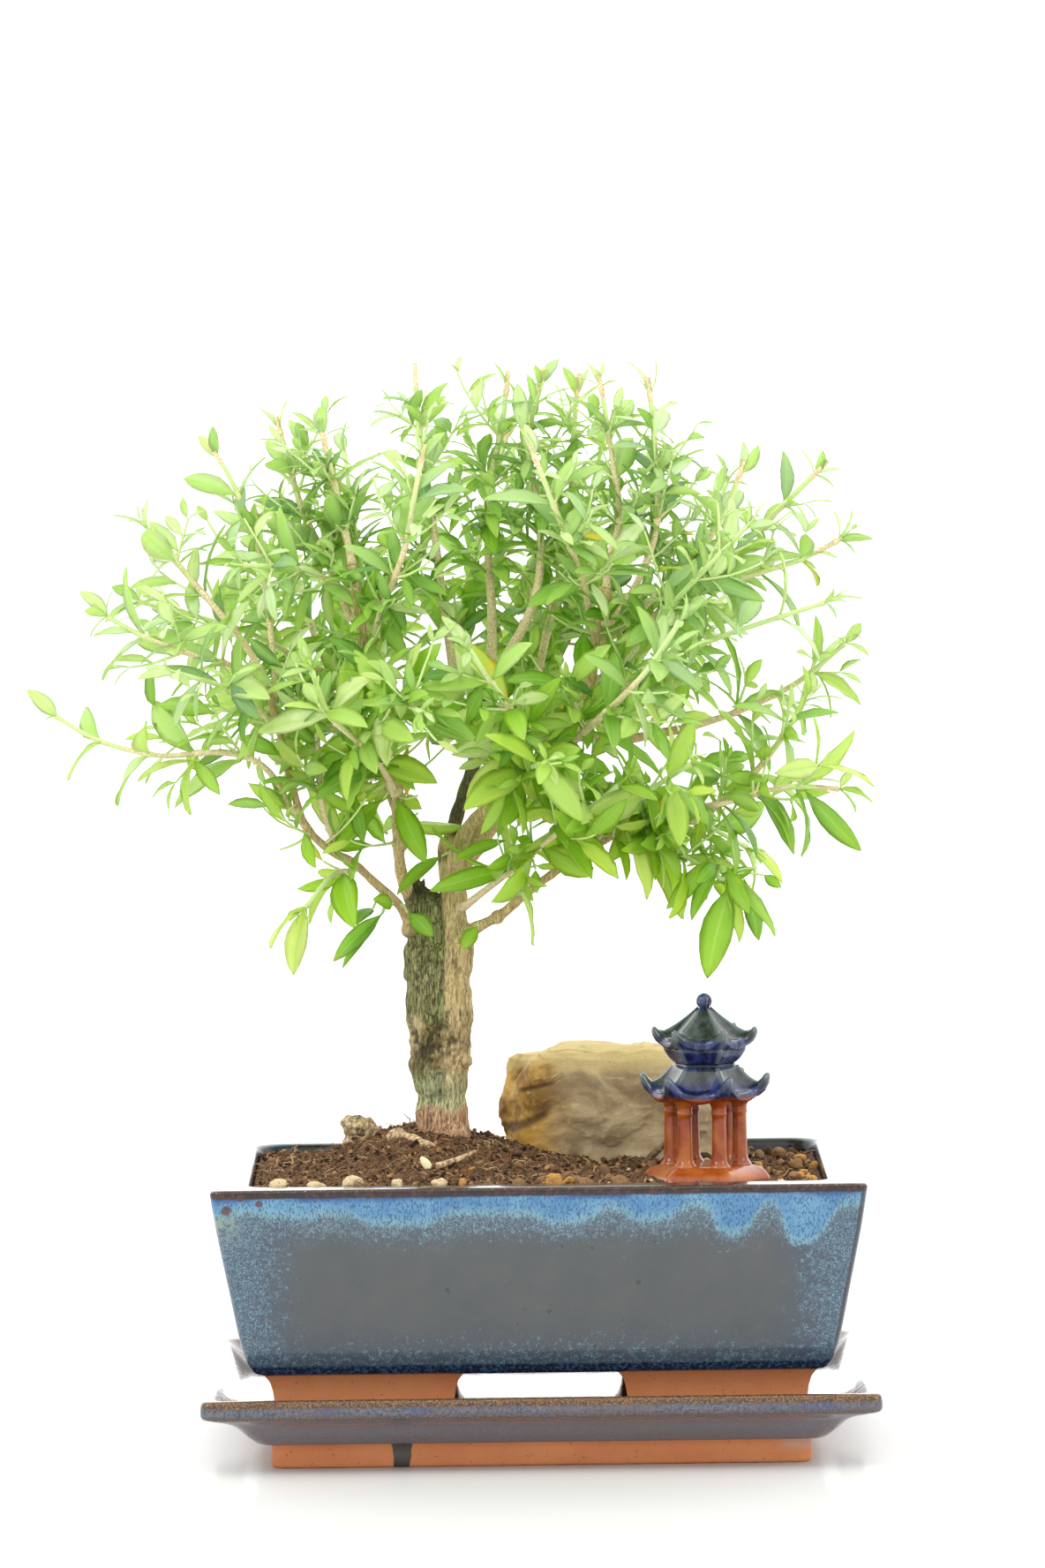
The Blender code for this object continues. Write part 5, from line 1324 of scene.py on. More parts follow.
LOOSE_WOOD = {
    "root_stub": [(-57, 9, 91, 2.6), (-57.5, 9, 96.0, 3.0), (-56.6, 8.5, 99.6, 3.0),
                  (-53, 8, 97.6, 2.7), (-50, 7.5, 95.6, 3.0)],
    "surface_root": [(-46, -2, 91.5, 2.4), (-44.5, -4, 95.6, 2.7), (-40, -7, 95.4, 2.0), (-34, -11, 93.4, 1.5),
                     (-29.5, -14, 91.2, 1.0)],
    "fallen_twig": [(-31, -34, 89.6, 1.0), (-27, -31.5, 90.6, .9), (-23, -29, 91.8, .8), (-19, -27, 93.2, .6)],
    "dead_stem": [(32, 3, 83.6, 1.0), (35, 2, 87.6, 1.1), (38, 0, 90.4, 1.0), (40.5, -1, 92.6, .7)],
}


def build_loose_wood(name, points, knobby, voxel):
    """One piece of old wood: a swept bar with swellings, drawn into one skin and roughened by noise."""
    path = smooth_path(points, 0.8 * MM)
    run = np.arange(len(path))
    path[:, 3] *= 1 + knobby * (np.sin(run * 0.9) * 0.5 + np.sin(run * 2.1 + 1) * 0.3)
    mesh = remeshed(grown(name, chain_mesh(name, [path]), round_wood, {"Sides": 16}), voxel * MM)
    points = np.array([v.co for v in mesh.vertices])
    normals = np.array([v.normal for v in mesh.vertices])
    relief = knobby * 1.3 * rough_noise(points / MM / 2.2, 3, 33) + 0.14 * rough_noise(points / MM / 0.8, 2, 35)
    mesh.vertices.foreach_set("co", (points + normals * (relief * MM)[:, None]).ravel())
    # painted shade: where the relief sinks in, the wood is marked to be painted darker
    painted(mesh, "hollow", np.clip(-relief * 1.5, 0, 1))
    mesh.shade_smooth()
    return mesh


def build_old_wood_finish():
    """Tan dead wood, greyer and mossy on the root stub, with painted shade where its relief sinks in."""
    made, place = new_finish("old_root", 0.9)
    fibre = noise(place, 800, 4, 0.7)
    cloud = noise(place, 190, 3)
    tone = mixed(ramp(fibre, 0.36, 0.66), matt(144, 112, 78), matt(244, 216, 174))
    tone = mixed(ramp(cloud, 0.5, 0.64), tone, matt(196, 142, 106), 0.6)
    stub = ramp(axes_of(place)[0], -0.050, -0.053)
    tone = mixed(stub, tone, mixed(ramp(fibre, 0.4, 0.64), matt(140, 120, 84), matt(222, 208, 172)), 0.6)
    moss = times(stub, ramp(noise(place, 260, 2), 0.58, 0.66), 0.8)
    tone = mixed(moss, tone, matt(150, 160, 50))
    right = ramp(axes_of(place)[0], 0.020, 0.030)
    tone = mixed(right, tone, matt(88, 68, 48), 0.75)
    # painted shade in the sunk places
    tone = mixed(paint_value(place, "hollow"), tone, matt(60, 42, 28), 0.75)
    return finished(made, tone, fibre, 0.4, 0.8)


old_wood = build_old_wood_finish()
for loose_name, loose_points in LOOSE_WOOD.items():
    lumpy = {"root_stub": 0.44, "surface_root": 0.16}.get(loose_name, 0.06)
    grain_size = 0.34 if loose_name in ("root_stub", "surface_root") else 0.2
    settled("weathered_" + loose_name, build_loose_wood(loose_name, loose_points, lumpy, grain_size),
            "old_root", loose_name, finish=old_wood)


def build_seed():
    """A flat pale seed that leans on the soil in front of the trunk."""
    rings = []
    for k in range(11):
        a = math.pi * k / 10
        ring = 2 * np.pi * np.arange(16) / 16
        wide = math.sin(a) ** 0.8 * (1 + 0.25 * math.cos(a))
        rings.append(np.stack([1.35 * max(0.02, wide) * np.cos(ring), 0.55 * max(0.02, wide) * np.sin(ring),
                               np.full(16, -2.6 * math.cos(a))], axis=1))
    points = np.vstack(rings)
    turn = np.array(Matrix.Rotation(math.radians(-38), 3, "Y") @ Matrix.Rotation(math.radians(-28), 3, "X"))
    points = points * 1.0 @ turn.T + np.array([-34.6, -31.8, 90.4])
    return lofted("pale_seed", np.split(points * MM, 11))


husk, husk_place = new_finish("seed_husk", 0.6)
finished(husk, mixed(noise(husk_place, 1200, 3), matt(216, 206, 150), matt(250, 246, 206)))
settled("pale_seed", build_seed(), "old_root", finish=husk)


# Leafy stems
# Thin stems, green at the tip and tan below, with leaves in crossed pairs, glossy above and paler
# below, and small side shoots in their axils. Stems are swept and leaves set by Geometry Nodes.

STEMS = {
    "left_tip": [(-83, -15, 240, 1.1), (-89, -13, 251, 1.1), (-98, -12, 262, 1.0), (-108, -11, 274, .9),
        (-118, -10, 286, .8)],
    "left_low": [(-72, -18, 199, 1.1), (-80, -24, 210, 1.0), (-87, -28, 216, .9), (-99, -32, 218, .9),
        (-112, -35, 217, .8), (-123, -37, 219, .8), (-135, -38, 223, .7), (-146, -38, 230, .7)],
    "left_mid": [(-82, -15, 237, 1.0), (-92, -22, 244, .9), (-102, -26, 247, .9), (-118, -30, 253, .8),
        (-130, -32, 260, .7)],
    "left_riser": [(-64, -15, 187, 1.1), (-65, -18, 198, 1.0), (-66, -20, 212, 1.0), (-66, -22, 227, .9),
        (-60, -26, 242, .8)],
    "left_high": [(-53, -13, 258, 1.2), (-62, -8, 274, 1.1), (-70, -4, 290, 1.0), (-75, -2, 308, .9),
        (-78, -2, 320, .8)],
    "left_leader": [(-55, -12, 274, 1.2), (-58, -10, 289, 1.1), (-62, -9, 307, 1.0), (-64, -9, 316, .9)],
    "left_top": [(-81, -16, 234, 1.0), (-81, -4, 258, 1.0), (-85, -2, 282, .9), (-92, -2, 300, .8),
        (-99, -2, 312, .8)],
    "right_tip": [(48, -14, 194, 1.1), (58, -17, 199, 1.0), (67, -18, 207, 1.0), (76, -20, 218, .9),
        (84, -22, 231, .8)],
    "right_bare": [(44, -13, 194, 1.0), (60, -24, 200, .9), (73, -27, 204, .8), (83, -29, 205, .8),
        (94, -30, 204, .7)],
    "right_inner": [(-24, -2, 167, 1.3), (-16, -9, 172, 1.1), (-6, -16, 180, 1.0), (3, -26, 188, .9),
        (14, -36, 197, .9), (26, -44, 207, .8)],
    "fan_long": [(18, -14, 238, 1.4), (27, -10, 244, 1.4), (39, -2, 257, 1.2), (52, 4, 264, 1.0),
        (67, 8, 268, .9), (84, 10, 273, .9), (96, 8, 279, .8)],
    "fan_mid": [(20, -15, 250, 1.2), (34, -10, 259, 1.1), (46, -7, 270, 1.0), (58, -8, 284, .9),
        (67, -8, 305, .9)],
    "fan_high": [(21, -15, 256, 1.2), (32, -18, 266, 1.1), (39, -18, 284, 1.0), (39, -16, 308, .9),
        (37, -15, 331, .8)],
    "fan_far": [(19, -14, 244, 1.2), (38, 6, 256, 1.1), (60, 16, 272, 1.0), (80, 10, 291, .9),
        (93, 4, 304, .8)],
    "front_leader": [(23, -16, 265, 1.2), (24, -15, 276, 1.1), (28, -13, 287, 1.0), (25, -11, 311, .9),
        (22, -10, 332, .8)],
    "top_tan": [(-14, 10, 239, 1.6), (-7, 2, 246, 1.5), (-1, 0, 256, 1.4), (3, 0, 270, 1.3), (3, 1, 289, 1.1),
        (0, 2, 311, .9), (5, 2, 334, .8)],
    "top_left": [(-18, 10, 227, 1.6), (-25, 6, 245, 1.4), (-28, 3, 270, 1.3), (-31, 2, 295, 1.1),
        (-34, 0, 317, .9), (-35, 0, 336, .8)],
    "top_mid": [(-13, 10, 242, 1.6), (-12, 10, 259, 1.4), (-13, 8, 278, 1.2), (-12, 6, 297, 1.1),
        (-8, 4, 317, .9), (-6, 4, 333, .8)],
    "top_right": [(-4, 36, 222, 1.4), (4, 24, 246, 1.3), (10, 18, 270, 1.1), (13, 12, 292, 1.0),
        (14, 10, 312, .9), (16, 8, 332, .8)],
    "rear_right": [(17, 62, 256, 1.1), (28, 68, 278, 1.0), (37, 70, 296, .8)],
    "rear_far": [(16, 38, 217, 1.2), (32, 58, 232, 1.1), (48, 70, 248, 1.0), (66, 74, 262, .8)],
    "rear_mid": [(-19, 10, 224, 1.5), (-23, 30, 236, 1.4), (-22, 46, 254, 1.2), (-17, 56, 276, 1.0),
        (-11, 60, 298, .9), (-5, 60, 316, .8)],
    "rear_left": [(-66, 44, 244, 1.0), (-72, 54, 263, .9), (-78, 58, 283, .8)],
    "rear_low": [(-52, 22, 219, 1.1), (-70, 40, 225, 1.0), (-88, 54, 234, .9), (-105, 60, 245, .8)],
    "rear_end": [(47, 38, 219, 1.2), (66, 34, 225, 1.0), (84, 30, 234, .9), (98, 24, 246, .8)],
    "front_mid": [(0, -10, 207, 1.3), (-1, -30, 217, 1.2), (-5, -48, 228, 1.1), (-12, -60, 239, 1.0),
        (-19, -66, 250, .9)],
    "front_right": [(8, -12, 215, 1.3), (15, -32, 222, 1.2), (25, -50, 232, 1.0), (35, -62, 243, .9),
        (45, -66, 258, .8)],
    "front_left": [(-42, -9, 204, 1.3), (-47, -30, 214, 1.2), (-54, -44, 222, 1.0), (-62, -54, 230, .9),
        (-67, -60, 244, .8)],
    "front_high": [(21, -15, 254, 1.2), (16, -34, 269, 1.1), (11, -44, 283, 1.0), (5, -48, 299, .9),
        (0, -48, 312, .8)],
    "front_up": [(-51, -14, 245, 1.2), (-46, -32, 261, 1.1), (-39, -44, 278, 1.0), (-35, -48, 297, .9),
        (-32, -46, 312, .8)],
}
SHOOT_TIPS = [
    (58, -22, 176), (66, 8, 184), (-70, -30, 170), (-58, 30, 196), (-108, -62, 244), (-96, 20, 222),
    (-122, 22, 262), (-88, -50, 276), (-58, 26, 312), (-30, 80, 262), (-56, 84, 248), (24, 36, 312),
    (62, 40, 296), (90, -40, 262), (66, -52, 286), (48, -56, 214), (4, -72, 216), (-34, -74, 232),
    (8, 84, 232), (-14, 52, 206),
]
CUT_BACK = ("right_bare", "fan_mid", "fan_long")
# Large leaves that hang before the trunk and below the crown: root, tip and width in millimetres
HUNG_LEAVES = [
    ((-39.3, -9, 165.9), (-31.6, -12, 159.0), 6.0), ((-17.7, -6, 161.3), (-22.4, -9, 154.4), 5.0),
    ((-6.6, -17, 179.6), (-32.2, -22, 174.2), 7.0), ((-8.2, -15, 188.5), (-25.0, -20, 182.8), 4.6),
    ((0.5, -22, 179.9), (0.7, -24, 172.6), 3.5), ((-1.4, -21, 179.3), (-10.5, -24, 172.8), 2.4),
    ((-28.5, -3, 183.0), (-42.5, -14, 172.2), 5.0), ((-42.3, -12, 202.1), (-33.4, -18, 181.9), 7.6),
    ((-46.4, -12, 201.6), (-61.9, -19, 185.6), 8.2), ((-46.9, -9, 165.9), (-62.5, -14, 151.5), 5.6),
    ((-47.4, -9, 165.4), (-59.9, -12, 149.3), 3.8), ((54.5, -20, 183.1), (41.0, -22, 166.9), 6.0),
    ((57.5, -20, 180.8), (48.0, -24, 163.8), 5.6), ((64.6, -18, 176.5), (69.5, -16, 156.1), 5.4),
    ((68.7, -18, 179.2), (55.5, -22, 174.9), 4.4), ((70.8, -18, 177.0), (76.2, -20, 173.2), 3.4),
    ((60.9, -22, 174.9), (52.7, -25, 145.7), 10.6), ((83.2, -28, 204.1), (101.0, -24, 184.1), 6.6),
    ((67.7, -25, 206.5), (81.6, -22, 183.7), 6.4), ((59.5, -21, 180.0), (66.0, -30, 166.0), 6.0),
    ((56.0, -22, 181.0), (50.0, -34, 176.0), 5.0), ((-50.0, -9, 167.5), (-55.0, -20, 163.5), 5.5),
    ((-44.0, -6, 168.0), (-49.0, -16, 171.0), 5.0),
]
GAP, CLEARANCE = 0.3 * MM, 1.1 * MM
LEAF_STEP, LEAF_LENGTH, LEAF_WIDTH = 12.5 * MM, 20.5 * MM, 0.31
CROWN_CENTRE = np.array((-17.0, 2.0, 225.0)) * MM


def limb_samples():
    """Places, radii and directions every millimetre along the fused wood, and whether it ends there."""
    rows = []
    for points in LIMBS.values():
        path = smooth_path(points, 1 * MM)
        along = np.gradient(path[:, :3], axis=0)
        at_end = np.arange(len(path)) > len(path) - 3
        along[at_end] = path[-1, :3] - path[-9, :3]
        along /= np.linalg.norm(along, axis=1)[:, None]
        path[at_end, :3] = path[-1, :3]
        rows.append(np.hstack([path, along, at_end[:, None]]))
    return np.vstack(rows)


def unit(vector):
    return vector / max(1e-9, float(np.linalg.norm(vector)))


def seated(points, wood):
    """The stem's points with the first one moved out to the surface of the wood that it springs from."""
    first, second = np.array(points[0][:3]) * MM, np.array(points[1][:3]) * MM
    near = wood[np.argmin(np.linalg.norm(wood[:, :3] - first, axis=1))]
    place, radius, along = near[:3], near[3], near[4:7]
    out = second - place
    if near[7]:
        out = unit(along)
        start = place + out * 1.5 * GAP
    else:
        out = unit(out - along * float(out @ along))
        start = place + out * (radius + GAP)
    knee = start + out * 1.6 * MM
    rows = [(*(start / MM), points[0][3]), (*(knee / MM), points[0][3])]
    return rows + [tuple(point) for point in points[1:]]


def kept_clear(path, others):
    """The path bent away from wood that it would run into."""
    path = path.copy()
    for _ in range(6):
        for i in range(3, len(path)):
            apart = path[i, :3] - others[:, :3]
            gaps = np.linalg.norm(apart, axis=1) - others[:, 3] - path[i, 3] - CLEARANCE
            worst = int(np.argmin(gaps))
            if gaps[worst] < 0:
                path[i, :3] += unit(apart[worst]) * -gaps[worst]
        path[3:-1, :3] = 0.5 * path[3:-1, :3] + 0.25 * (path[2:-2, :3] + path[4:, :3])
    return path


def shoot_points(tip, wood, stems):
    """A shoot's points, from the nearest free wood that lies below and at least a leaf's length away."""
    end = np.array(tip, float) * MM
    apart = np.linalg.norm(wood[:, :3] - end, axis=1)
    suits = (apart > 26 * MM) & (wood[:, 3] < 2.6 * MM) & (wood[:, 2] < end[2] + 14 * MM) & (wood[:, 7] == 0)
    for points in stems:
        suits &= np.linalg.norm(wood[:, :3] - np.array(points[0][:3]) * MM, axis=1) > 8 * MM
    start = wood[np.argmin(np.where(suits, apart, 1.0)), :3]
    middle = 0.55 * start + 0.45 * end + np.array((0, 0, 3 * MM))
    return [(*(start / MM), .9), (*(middle / MM), .85), (*(end / MM), .7)]


def run_of(path):
    """How far along the path each of its points lies."""
    return np.concatenate([[0], np.cumsum(np.linalg.norm(np.diff(path[:, :3], axis=0), axis=1))])


def outward_at(axis, turn):
    """The direction out of a stem at a turn round it."""
    side = unit(np.cross(axis, (0.31, 0.17, 0.93)))
    return math.cos(turn) * side + math.sin(turn) * np.cross(axis, side)


def on_stem(path, at):
    """The place at a share of the stem's length, and the direction of the stem there."""
    run = run_of(path)
    i = min(len(run) - 2, int(np.searchsorted(run, at * run[-1], side="right")) - 1)
    axis = unit(path[i + 1, :3] - path[i, :3])
    return path[i, :3] + axis * (at * run[-1] - run[i]), axis


def leaf_frame(path, at, turn, draw, end):
    """Where a leaf springs from a stem, and the directions of its length and of its upper face."""
    root, axis = on_stem(path, at)
    outward = outward_at(axis, turn)
    lean = math.radians(draw.uniform(18, 38) if end else draw.uniform(50, 80))
    length = unit(math.cos(lean) * axis + math.sin(lean) * outward)
    droop = draw.uniform(-0.3, 0.1) + 4.0 * (root[2] - 0.245) - 14.0 * max(0, 0.2 - root[2])
    length = unit(length + np.array((0, 0, max(-1.0, min(0.2, droop)))))
    face = unit(root - CROWN_CENTRE) + np.array([draw.uniform(-0.5, 0.5) for _ in range(3)])
    face = face + np.array((0, 0, 0.65))
    face = unit(face - length * float(face @ length))
    return root, length, face


def leaf_sizes(root, at, draw, end):
    """Length and width of a leaf: larger low and inside, smaller towards a tip."""
    height = min(1.0, max(0.0, (root[2] - 0.18) / 0.14))
    lowest = min(1.0, max(0.0, (0.195 - root[2]) / 0.02))
    length = LEAF_LENGTH * (1.15 - 0.25 * height) * (1.08 - 0.28 * at ** 3) * draw.uniform(0.82, 1.18)
    if end:
        length *= 0.72 + 0.5 * lowest
    return length, length * LEAF_WIDTH * draw.uniform(0.88, 1.15)


def leaf_slots(path, bare):
    """Shares of the stem's length where pairs of leaves stand, and whether they are the last."""
    length = float(np.linalg.norm(np.diff(path[:, :3], axis=0), axis=1).sum())
    first = 0.30 * length if length > 55 * MM else 0.22 * length
    count = max(2, int((length * bare - first) / LEAF_STEP) + 1)
    spots = first + (length * bare - first) * np.arange(count) / (count - 1)
    return [(float(spot) / length, k == count - 1) for k, spot in enumerate(spots)]


def solid_leaves(name, path, order):
    """The leaves that the CAD stem of this name holds: root, direction, face, length, width and share of stem."""
    node = frame["nodes"][name].data
    tips = KDTree(len(node.vertices))
    for vert in node.vertices:
        tips.insert(vert.co, vert.index)
    tips.balance()
    found = []
    bare = 0.93 if path[-1, 2] > 0.30 else 0.99
    for slot, (at, last) in enumerate(leaf_slots(path, bare)):
        for half_turn in range(2):
            for attempt in range(7):
                draw = random.Random(f"{order} {slot} {half_turn} {attempt}")
                turn = math.pi * half_turn + math.pi / 2 * slot + 0.6 * order
                turn += draw.uniform(-0.3, 0.3) * (1 + attempt)
                root, along, face = leaf_frame(path, at, turn, draw, last)
                length, width = leaf_sizes(root, at, draw, last)
                length *= 1 - 0.06 * attempt
                tip = root + along * length - face * 0.06 * length
                if tips.find(tip)[2] < 0.06 * MM:
                    found.append((root, along, face, length, width, at))
                    break
    return found


def leaf_shape(number):
    """A leaf one unit long and wide: a pointed ellipse with a sunk midrib, arched, and closed underneath."""
    draw = random.Random(100 + number)
    stations = (0.05, 0.13, 0.26, 0.42, 0.58, 0.73, 0.87, 0.96)
    widths = (0.09, 0.30, 0.72, 0.98, 1.0, 0.84, 0.52, 0.20)
    if number >= LARGE_SHAPES:
        stations, widths = (0.10, 0.32, 0.58, 0.80, 0.94), (0.24, 0.88, 1.0, 0.68, 0.24)
    fold, bend, curl = draw.uniform(0.04, 0.20), draw.uniform(-0.05, 0.05), draw.uniform(-0.05, 0.05)
    twist, wave = draw.uniform(-0.4, 0.4), draw.uniform(0.0, 0.05)
    points, along, across, under = [(0, 0, 0)], [0], [0], [0]
    for share, wide in zip(stations, widths):
        arch = 0.10 * (4 * share * (1 - share) - 0.6 * share) + curl * share ** 3
        middle = bend * math.sin(math.pi * share)
        lean = twist * (share - 0.3)
        for side, below in ((1, 0), (0.5, 0), (0, 0), (-0.5, 0), (-1, 0), (0, 1)):
            y = 0.5 * wide * side
            z = arch + 0.30 * fold * abs(y) + 0.3 * y * lean + wave * 0.3 * math.sin(share * 17 + side) * abs(side)
            z -= 0.014 if side == 0 and not below else 0
            z -= 0.030 if below else 0
            points.append((share, middle + y, z))
            along.append(share)
            across.append(side * (1 if not below else 0))
            under.append(below if side == 0 else (0.45 if abs(side) == 1 else 0))
    points.append((1.0, 0, -0.06 + curl * 0.6))
    along.append(1)
    across.append(0)
    under.append(0.4)
    faces = []
    for row in range(len(stations) - 1):
        for i in range(6):
            a, b = 1 + row * 6 + i, 1 + row * 6 + (i + 1) % 6
            faces.append((a, b, b + 6, a + 6))
    last = 1 + (len(stations) - 1) * 6
    for i in range(6):
        faces.append((0, 1 + (i + 1) % 6, 1 + i))
        faces.append((last + i, last + (i + 1) % 6, len(points) - 1))
    mesh = bpy.data.meshes.new("leaf")
    mesh.from_pydata(points, [], faces)
    faced_out(mesh)
    for name, values in (("along", along), ("across", across), ("under", under)):
        painted(mesh, name, values)
    mesh.shade_smooth()
    return mesh


def leafy_stem_tree():
    """Sweeps the chains into stems and sets a leaf on each loose point that is marked as one."""
    tree, given = growth_tree("leafy_stem", ("Leaf shapes", "Collection"), ("Sides", "Int"),
                              ("Leaf finish", "Material"), ("Stem finish", "Material"))

    def stored(name, kind="FLOAT"):
        return wire(tree, "GeometryNodeInputNamedAttribute", name, data_type=kind)

    leafy = wire(tree, "FunctionNodeCompare", stored("is_leaf"), 0.5, data_type="FLOAT", operation="GREATER_THAN")
    parted = wire(tree, "GeometryNodeSeparateGeometry", given["Geometry"], leafy, domain="POINT").node.outputs
    swept = wire(tree, "GeometryNodeSetMaterial", swept_ring(tree, parted[1], given["Sides"]), None,
                 given["Stem finish"])
    leaves = wire(tree, "GeometryNodeInstanceOnPoints", named={
        "Points": parted[0], "Pick Instance": True, "Scale": stored("size", "FLOAT_VECTOR"),
        "Instance": wire(tree, "GeometryNodeCollectionInfo", given["Leaf shapes"], True, True),
        "Rotation": wire(tree, "FunctionNodeEulerToRotation", stored("turn", "FLOAT_VECTOR")),
        "Instance Index": stored("shape", "INT")})
    both = tree.nodes.new("GeometryNodeJoinGeometry")
    for part in (realized(tree, leaves, given["Leaf finish"]), swept):
        tree.links.new(part, both.inputs[0])
    return closed(tree, both.outputs[0])


class Spray:
    """What grows on one leafy stem: chains of points for its wood and a list of leaves."""

    def __init__(self):
        self.paths, self.woody, self.leaves = [], [], []

    def add_wood(self, path, base, tip):
        self.paths.append(path)
        self.woody.append(np.linspace(base, tip, len(path)))

    def add_leaf(self, root, along, face, length, width, age, glow, draw, large=False, paleness=1.0):
        tip = root + along * length
        if (tip < np.array(cad_low) + BOX_MARGIN).any() or (tip > np.array(cad_high) - BOX_MARGIN).any():
            return
        shape = draw.randrange(LARGE_SHAPES) if large else draw.randrange(LARGE_SHAPES, LEAF_SHAPES)
        gold = 1.0 if draw.random() < GOLD_SHARE and glow > 0.2 else 0.0
        width *= 1.1 if large else 0.98
        self.leaves.append((root, along, face, length, width, age, glow, draw.random() * paleness, shape, gold))

    def mesh(self, name):
        """Chains and loose leaf points in one mesh, with all that the nodes and the shaders read."""
        path_points, edges = chained(self.paths)
        start, count = len(path_points), len(self.leaves)
        roots = np.array([leaf[0] for leaf in self.leaves]).reshape(-1, 3)
        mesh = bpy.data.meshes.new(name)
        mesh.from_pydata(np.vstack([path_points, roots]).tolist(), edges, [])
        turns, sizes = [], []
        for root, along, face, length, width, *_ in self.leaves:
            side = np.cross(face, along)
            turns.append(Matrix(np.stack([along, side, face], axis=1).tolist()).to_euler())
            sizes.append((length, width, length))
        blank, no_wood = np.zeros(start), [np.zeros(count)]
        painted(mesh, "is_leaf", np.concatenate([blank, np.ones(count)]))
        painted(mesh, "thickness", np.concatenate([path[:, 3] for path in self.paths] + no_wood))
        painted(mesh, "woody", np.concatenate(self.woody + no_wood))
        for key, rows in (("turn", turns), ("size", sizes)):
            filled = np.vstack([np.zeros((start, 3)), np.array(rows).reshape(-1, 3)])
            painted(mesh, key, filled, "FLOAT_VECTOR", "vector")
        for key, column in (("age", 5), ("glow", 6), ("tint", 7), ("gold", 9)):
            painted(mesh, key, np.concatenate([blank, [leaf[column] for leaf in self.leaves]]))
        shape = mesh.attributes.new("shape", "INT", "POINT")
        shape.data.foreach_set("value", [0] * start + [leaf[8] for leaf in self.leaves])
        return mesh


LARGE_SHAPES, LEAF_SHAPES = 8, 14
BOX_MARGIN, GOLD_SHARE = 0.2 * MM, 0.014


def glow_at(place, draw):
    """How strongly a leaf is painted as lit through from behind: most low down and inside the crown."""
    low = np.clip((0.255 - place[2]) / 0.06, 0, 1)
    return float(np.clip(0.12 + 0.65 * low + draw.uniform(-0.28, 0.32), 0, 1))


def spread_face(here, along, draw):
    """The upper face of a leaf, turned up and out of the crown."""
    uneven = np.array([draw.uniform(-.5, .5) for _ in range(3)])
    face = unit(here - CROWN_CENTRE) * 0.85 + uneven + np.array((0, 0, 0.7))
    return unit(face - along * float(face @ along))


SHOOT_REACH, LEAF_REACH = 13 * MM, 11 * MM    # how far either may stand off the solid stems


def side_shoot(spray, root, heading, length, draw, age, leaf_size):
    """A thin green shoot from a leaf axil, with leaves in crossed pairs and a tuft at its tip."""
    points, place, way = [], np.array(root, float), unit(np.array(heading, float))
    count = max(3, int(length / (2.5 * MM)))
    for _ in range(count + 1):
        points.append(place.copy())
        way = unit(way + np.array([draw.uniform(-.08, .08), draw.uniform(-.08, .08), 0.05 + draw.uniform(-.04, .06)]))
        place = place + way * length / count
    if crown.find(points[-1])[2] > SHOOT_REACH:
        return
    points = np.array(points)
    thick = np.linspace(0.50, 0.32, len(points)) * MM
    path = np.hstack([points, thick[:, None]])
    spray.add_wood(path, 0.5, 0.0)
    pairs = max(1, int(length / (6.5 * MM)))
    spin = draw.uniform(0, 3.14)
    for pair in range(pairs + 1):
        at = 0.22 + 0.72 * pair / pairs if pair < pairs else 0.99
        here, axis = on_stem(path, at)
        for half in range(2):
            turn = spin + math.pi * half + math.pi / 2 * pair + draw.uniform(-0.25, 0.25)
            outward = outward_at(axis, turn)
            lean = math.radians(draw.uniform(20, 45) if pair == pairs else draw.uniform(48, 78))
            along = unit(math.cos(lean) * axis + math.sin(lean) * outward + np.array((0, 0, draw.uniform(-.45, .05))))
            size = leaf_size * MM * draw.uniform(0.75, 1.25) * (0.62 if pair == pairs else 1.0)
            if crown.find(here + along * size)[2] < LEAF_REACH:
                face = spread_face(here, along, draw)
                spray.add_leaf(here, along, face, size, size * LEAF_WIDTH * draw.uniform(0.95, 1.3),
                               age * (0.45 if pair == pairs else 0.85), glow_at(here, draw), draw)


def noded(path, spots):
    """A stem's path in one-millimetre steps, a little thicker where leaves stand."""
    run = run_of(path)
    fine = np.linspace(0, run[-1], max(4, int(run[-1] / (1.0 * MM))))
    finer = np.stack([np.interp(fine, run, path[:, i]) for i in range(4)], axis=1)
    for spot in spots:
        finer[:, 3] += 0.28 * MM * np.exp(-((fine - spot * run[-1]) / (0.9 * MM)) ** 2)
    finer[:, 3] += 0.45 * MM * np.exp(-fine / (2.2 * MM))
    rooted = wood[np.argmin(np.linalg.norm(wood[:, :3] - finer[0, :3], axis=1) - wood[:, 3]), :4].copy()
    rooted[3] = min(rooted[3] * 0.8, finer[0, 3])
    return np.vstack([rooted, finer])


def fresh(red, green, blue):
    """A leaf green, which is stronger than it looks because each leaf stands in the shade of others."""
    return colour(red, green, blue, 1.0)


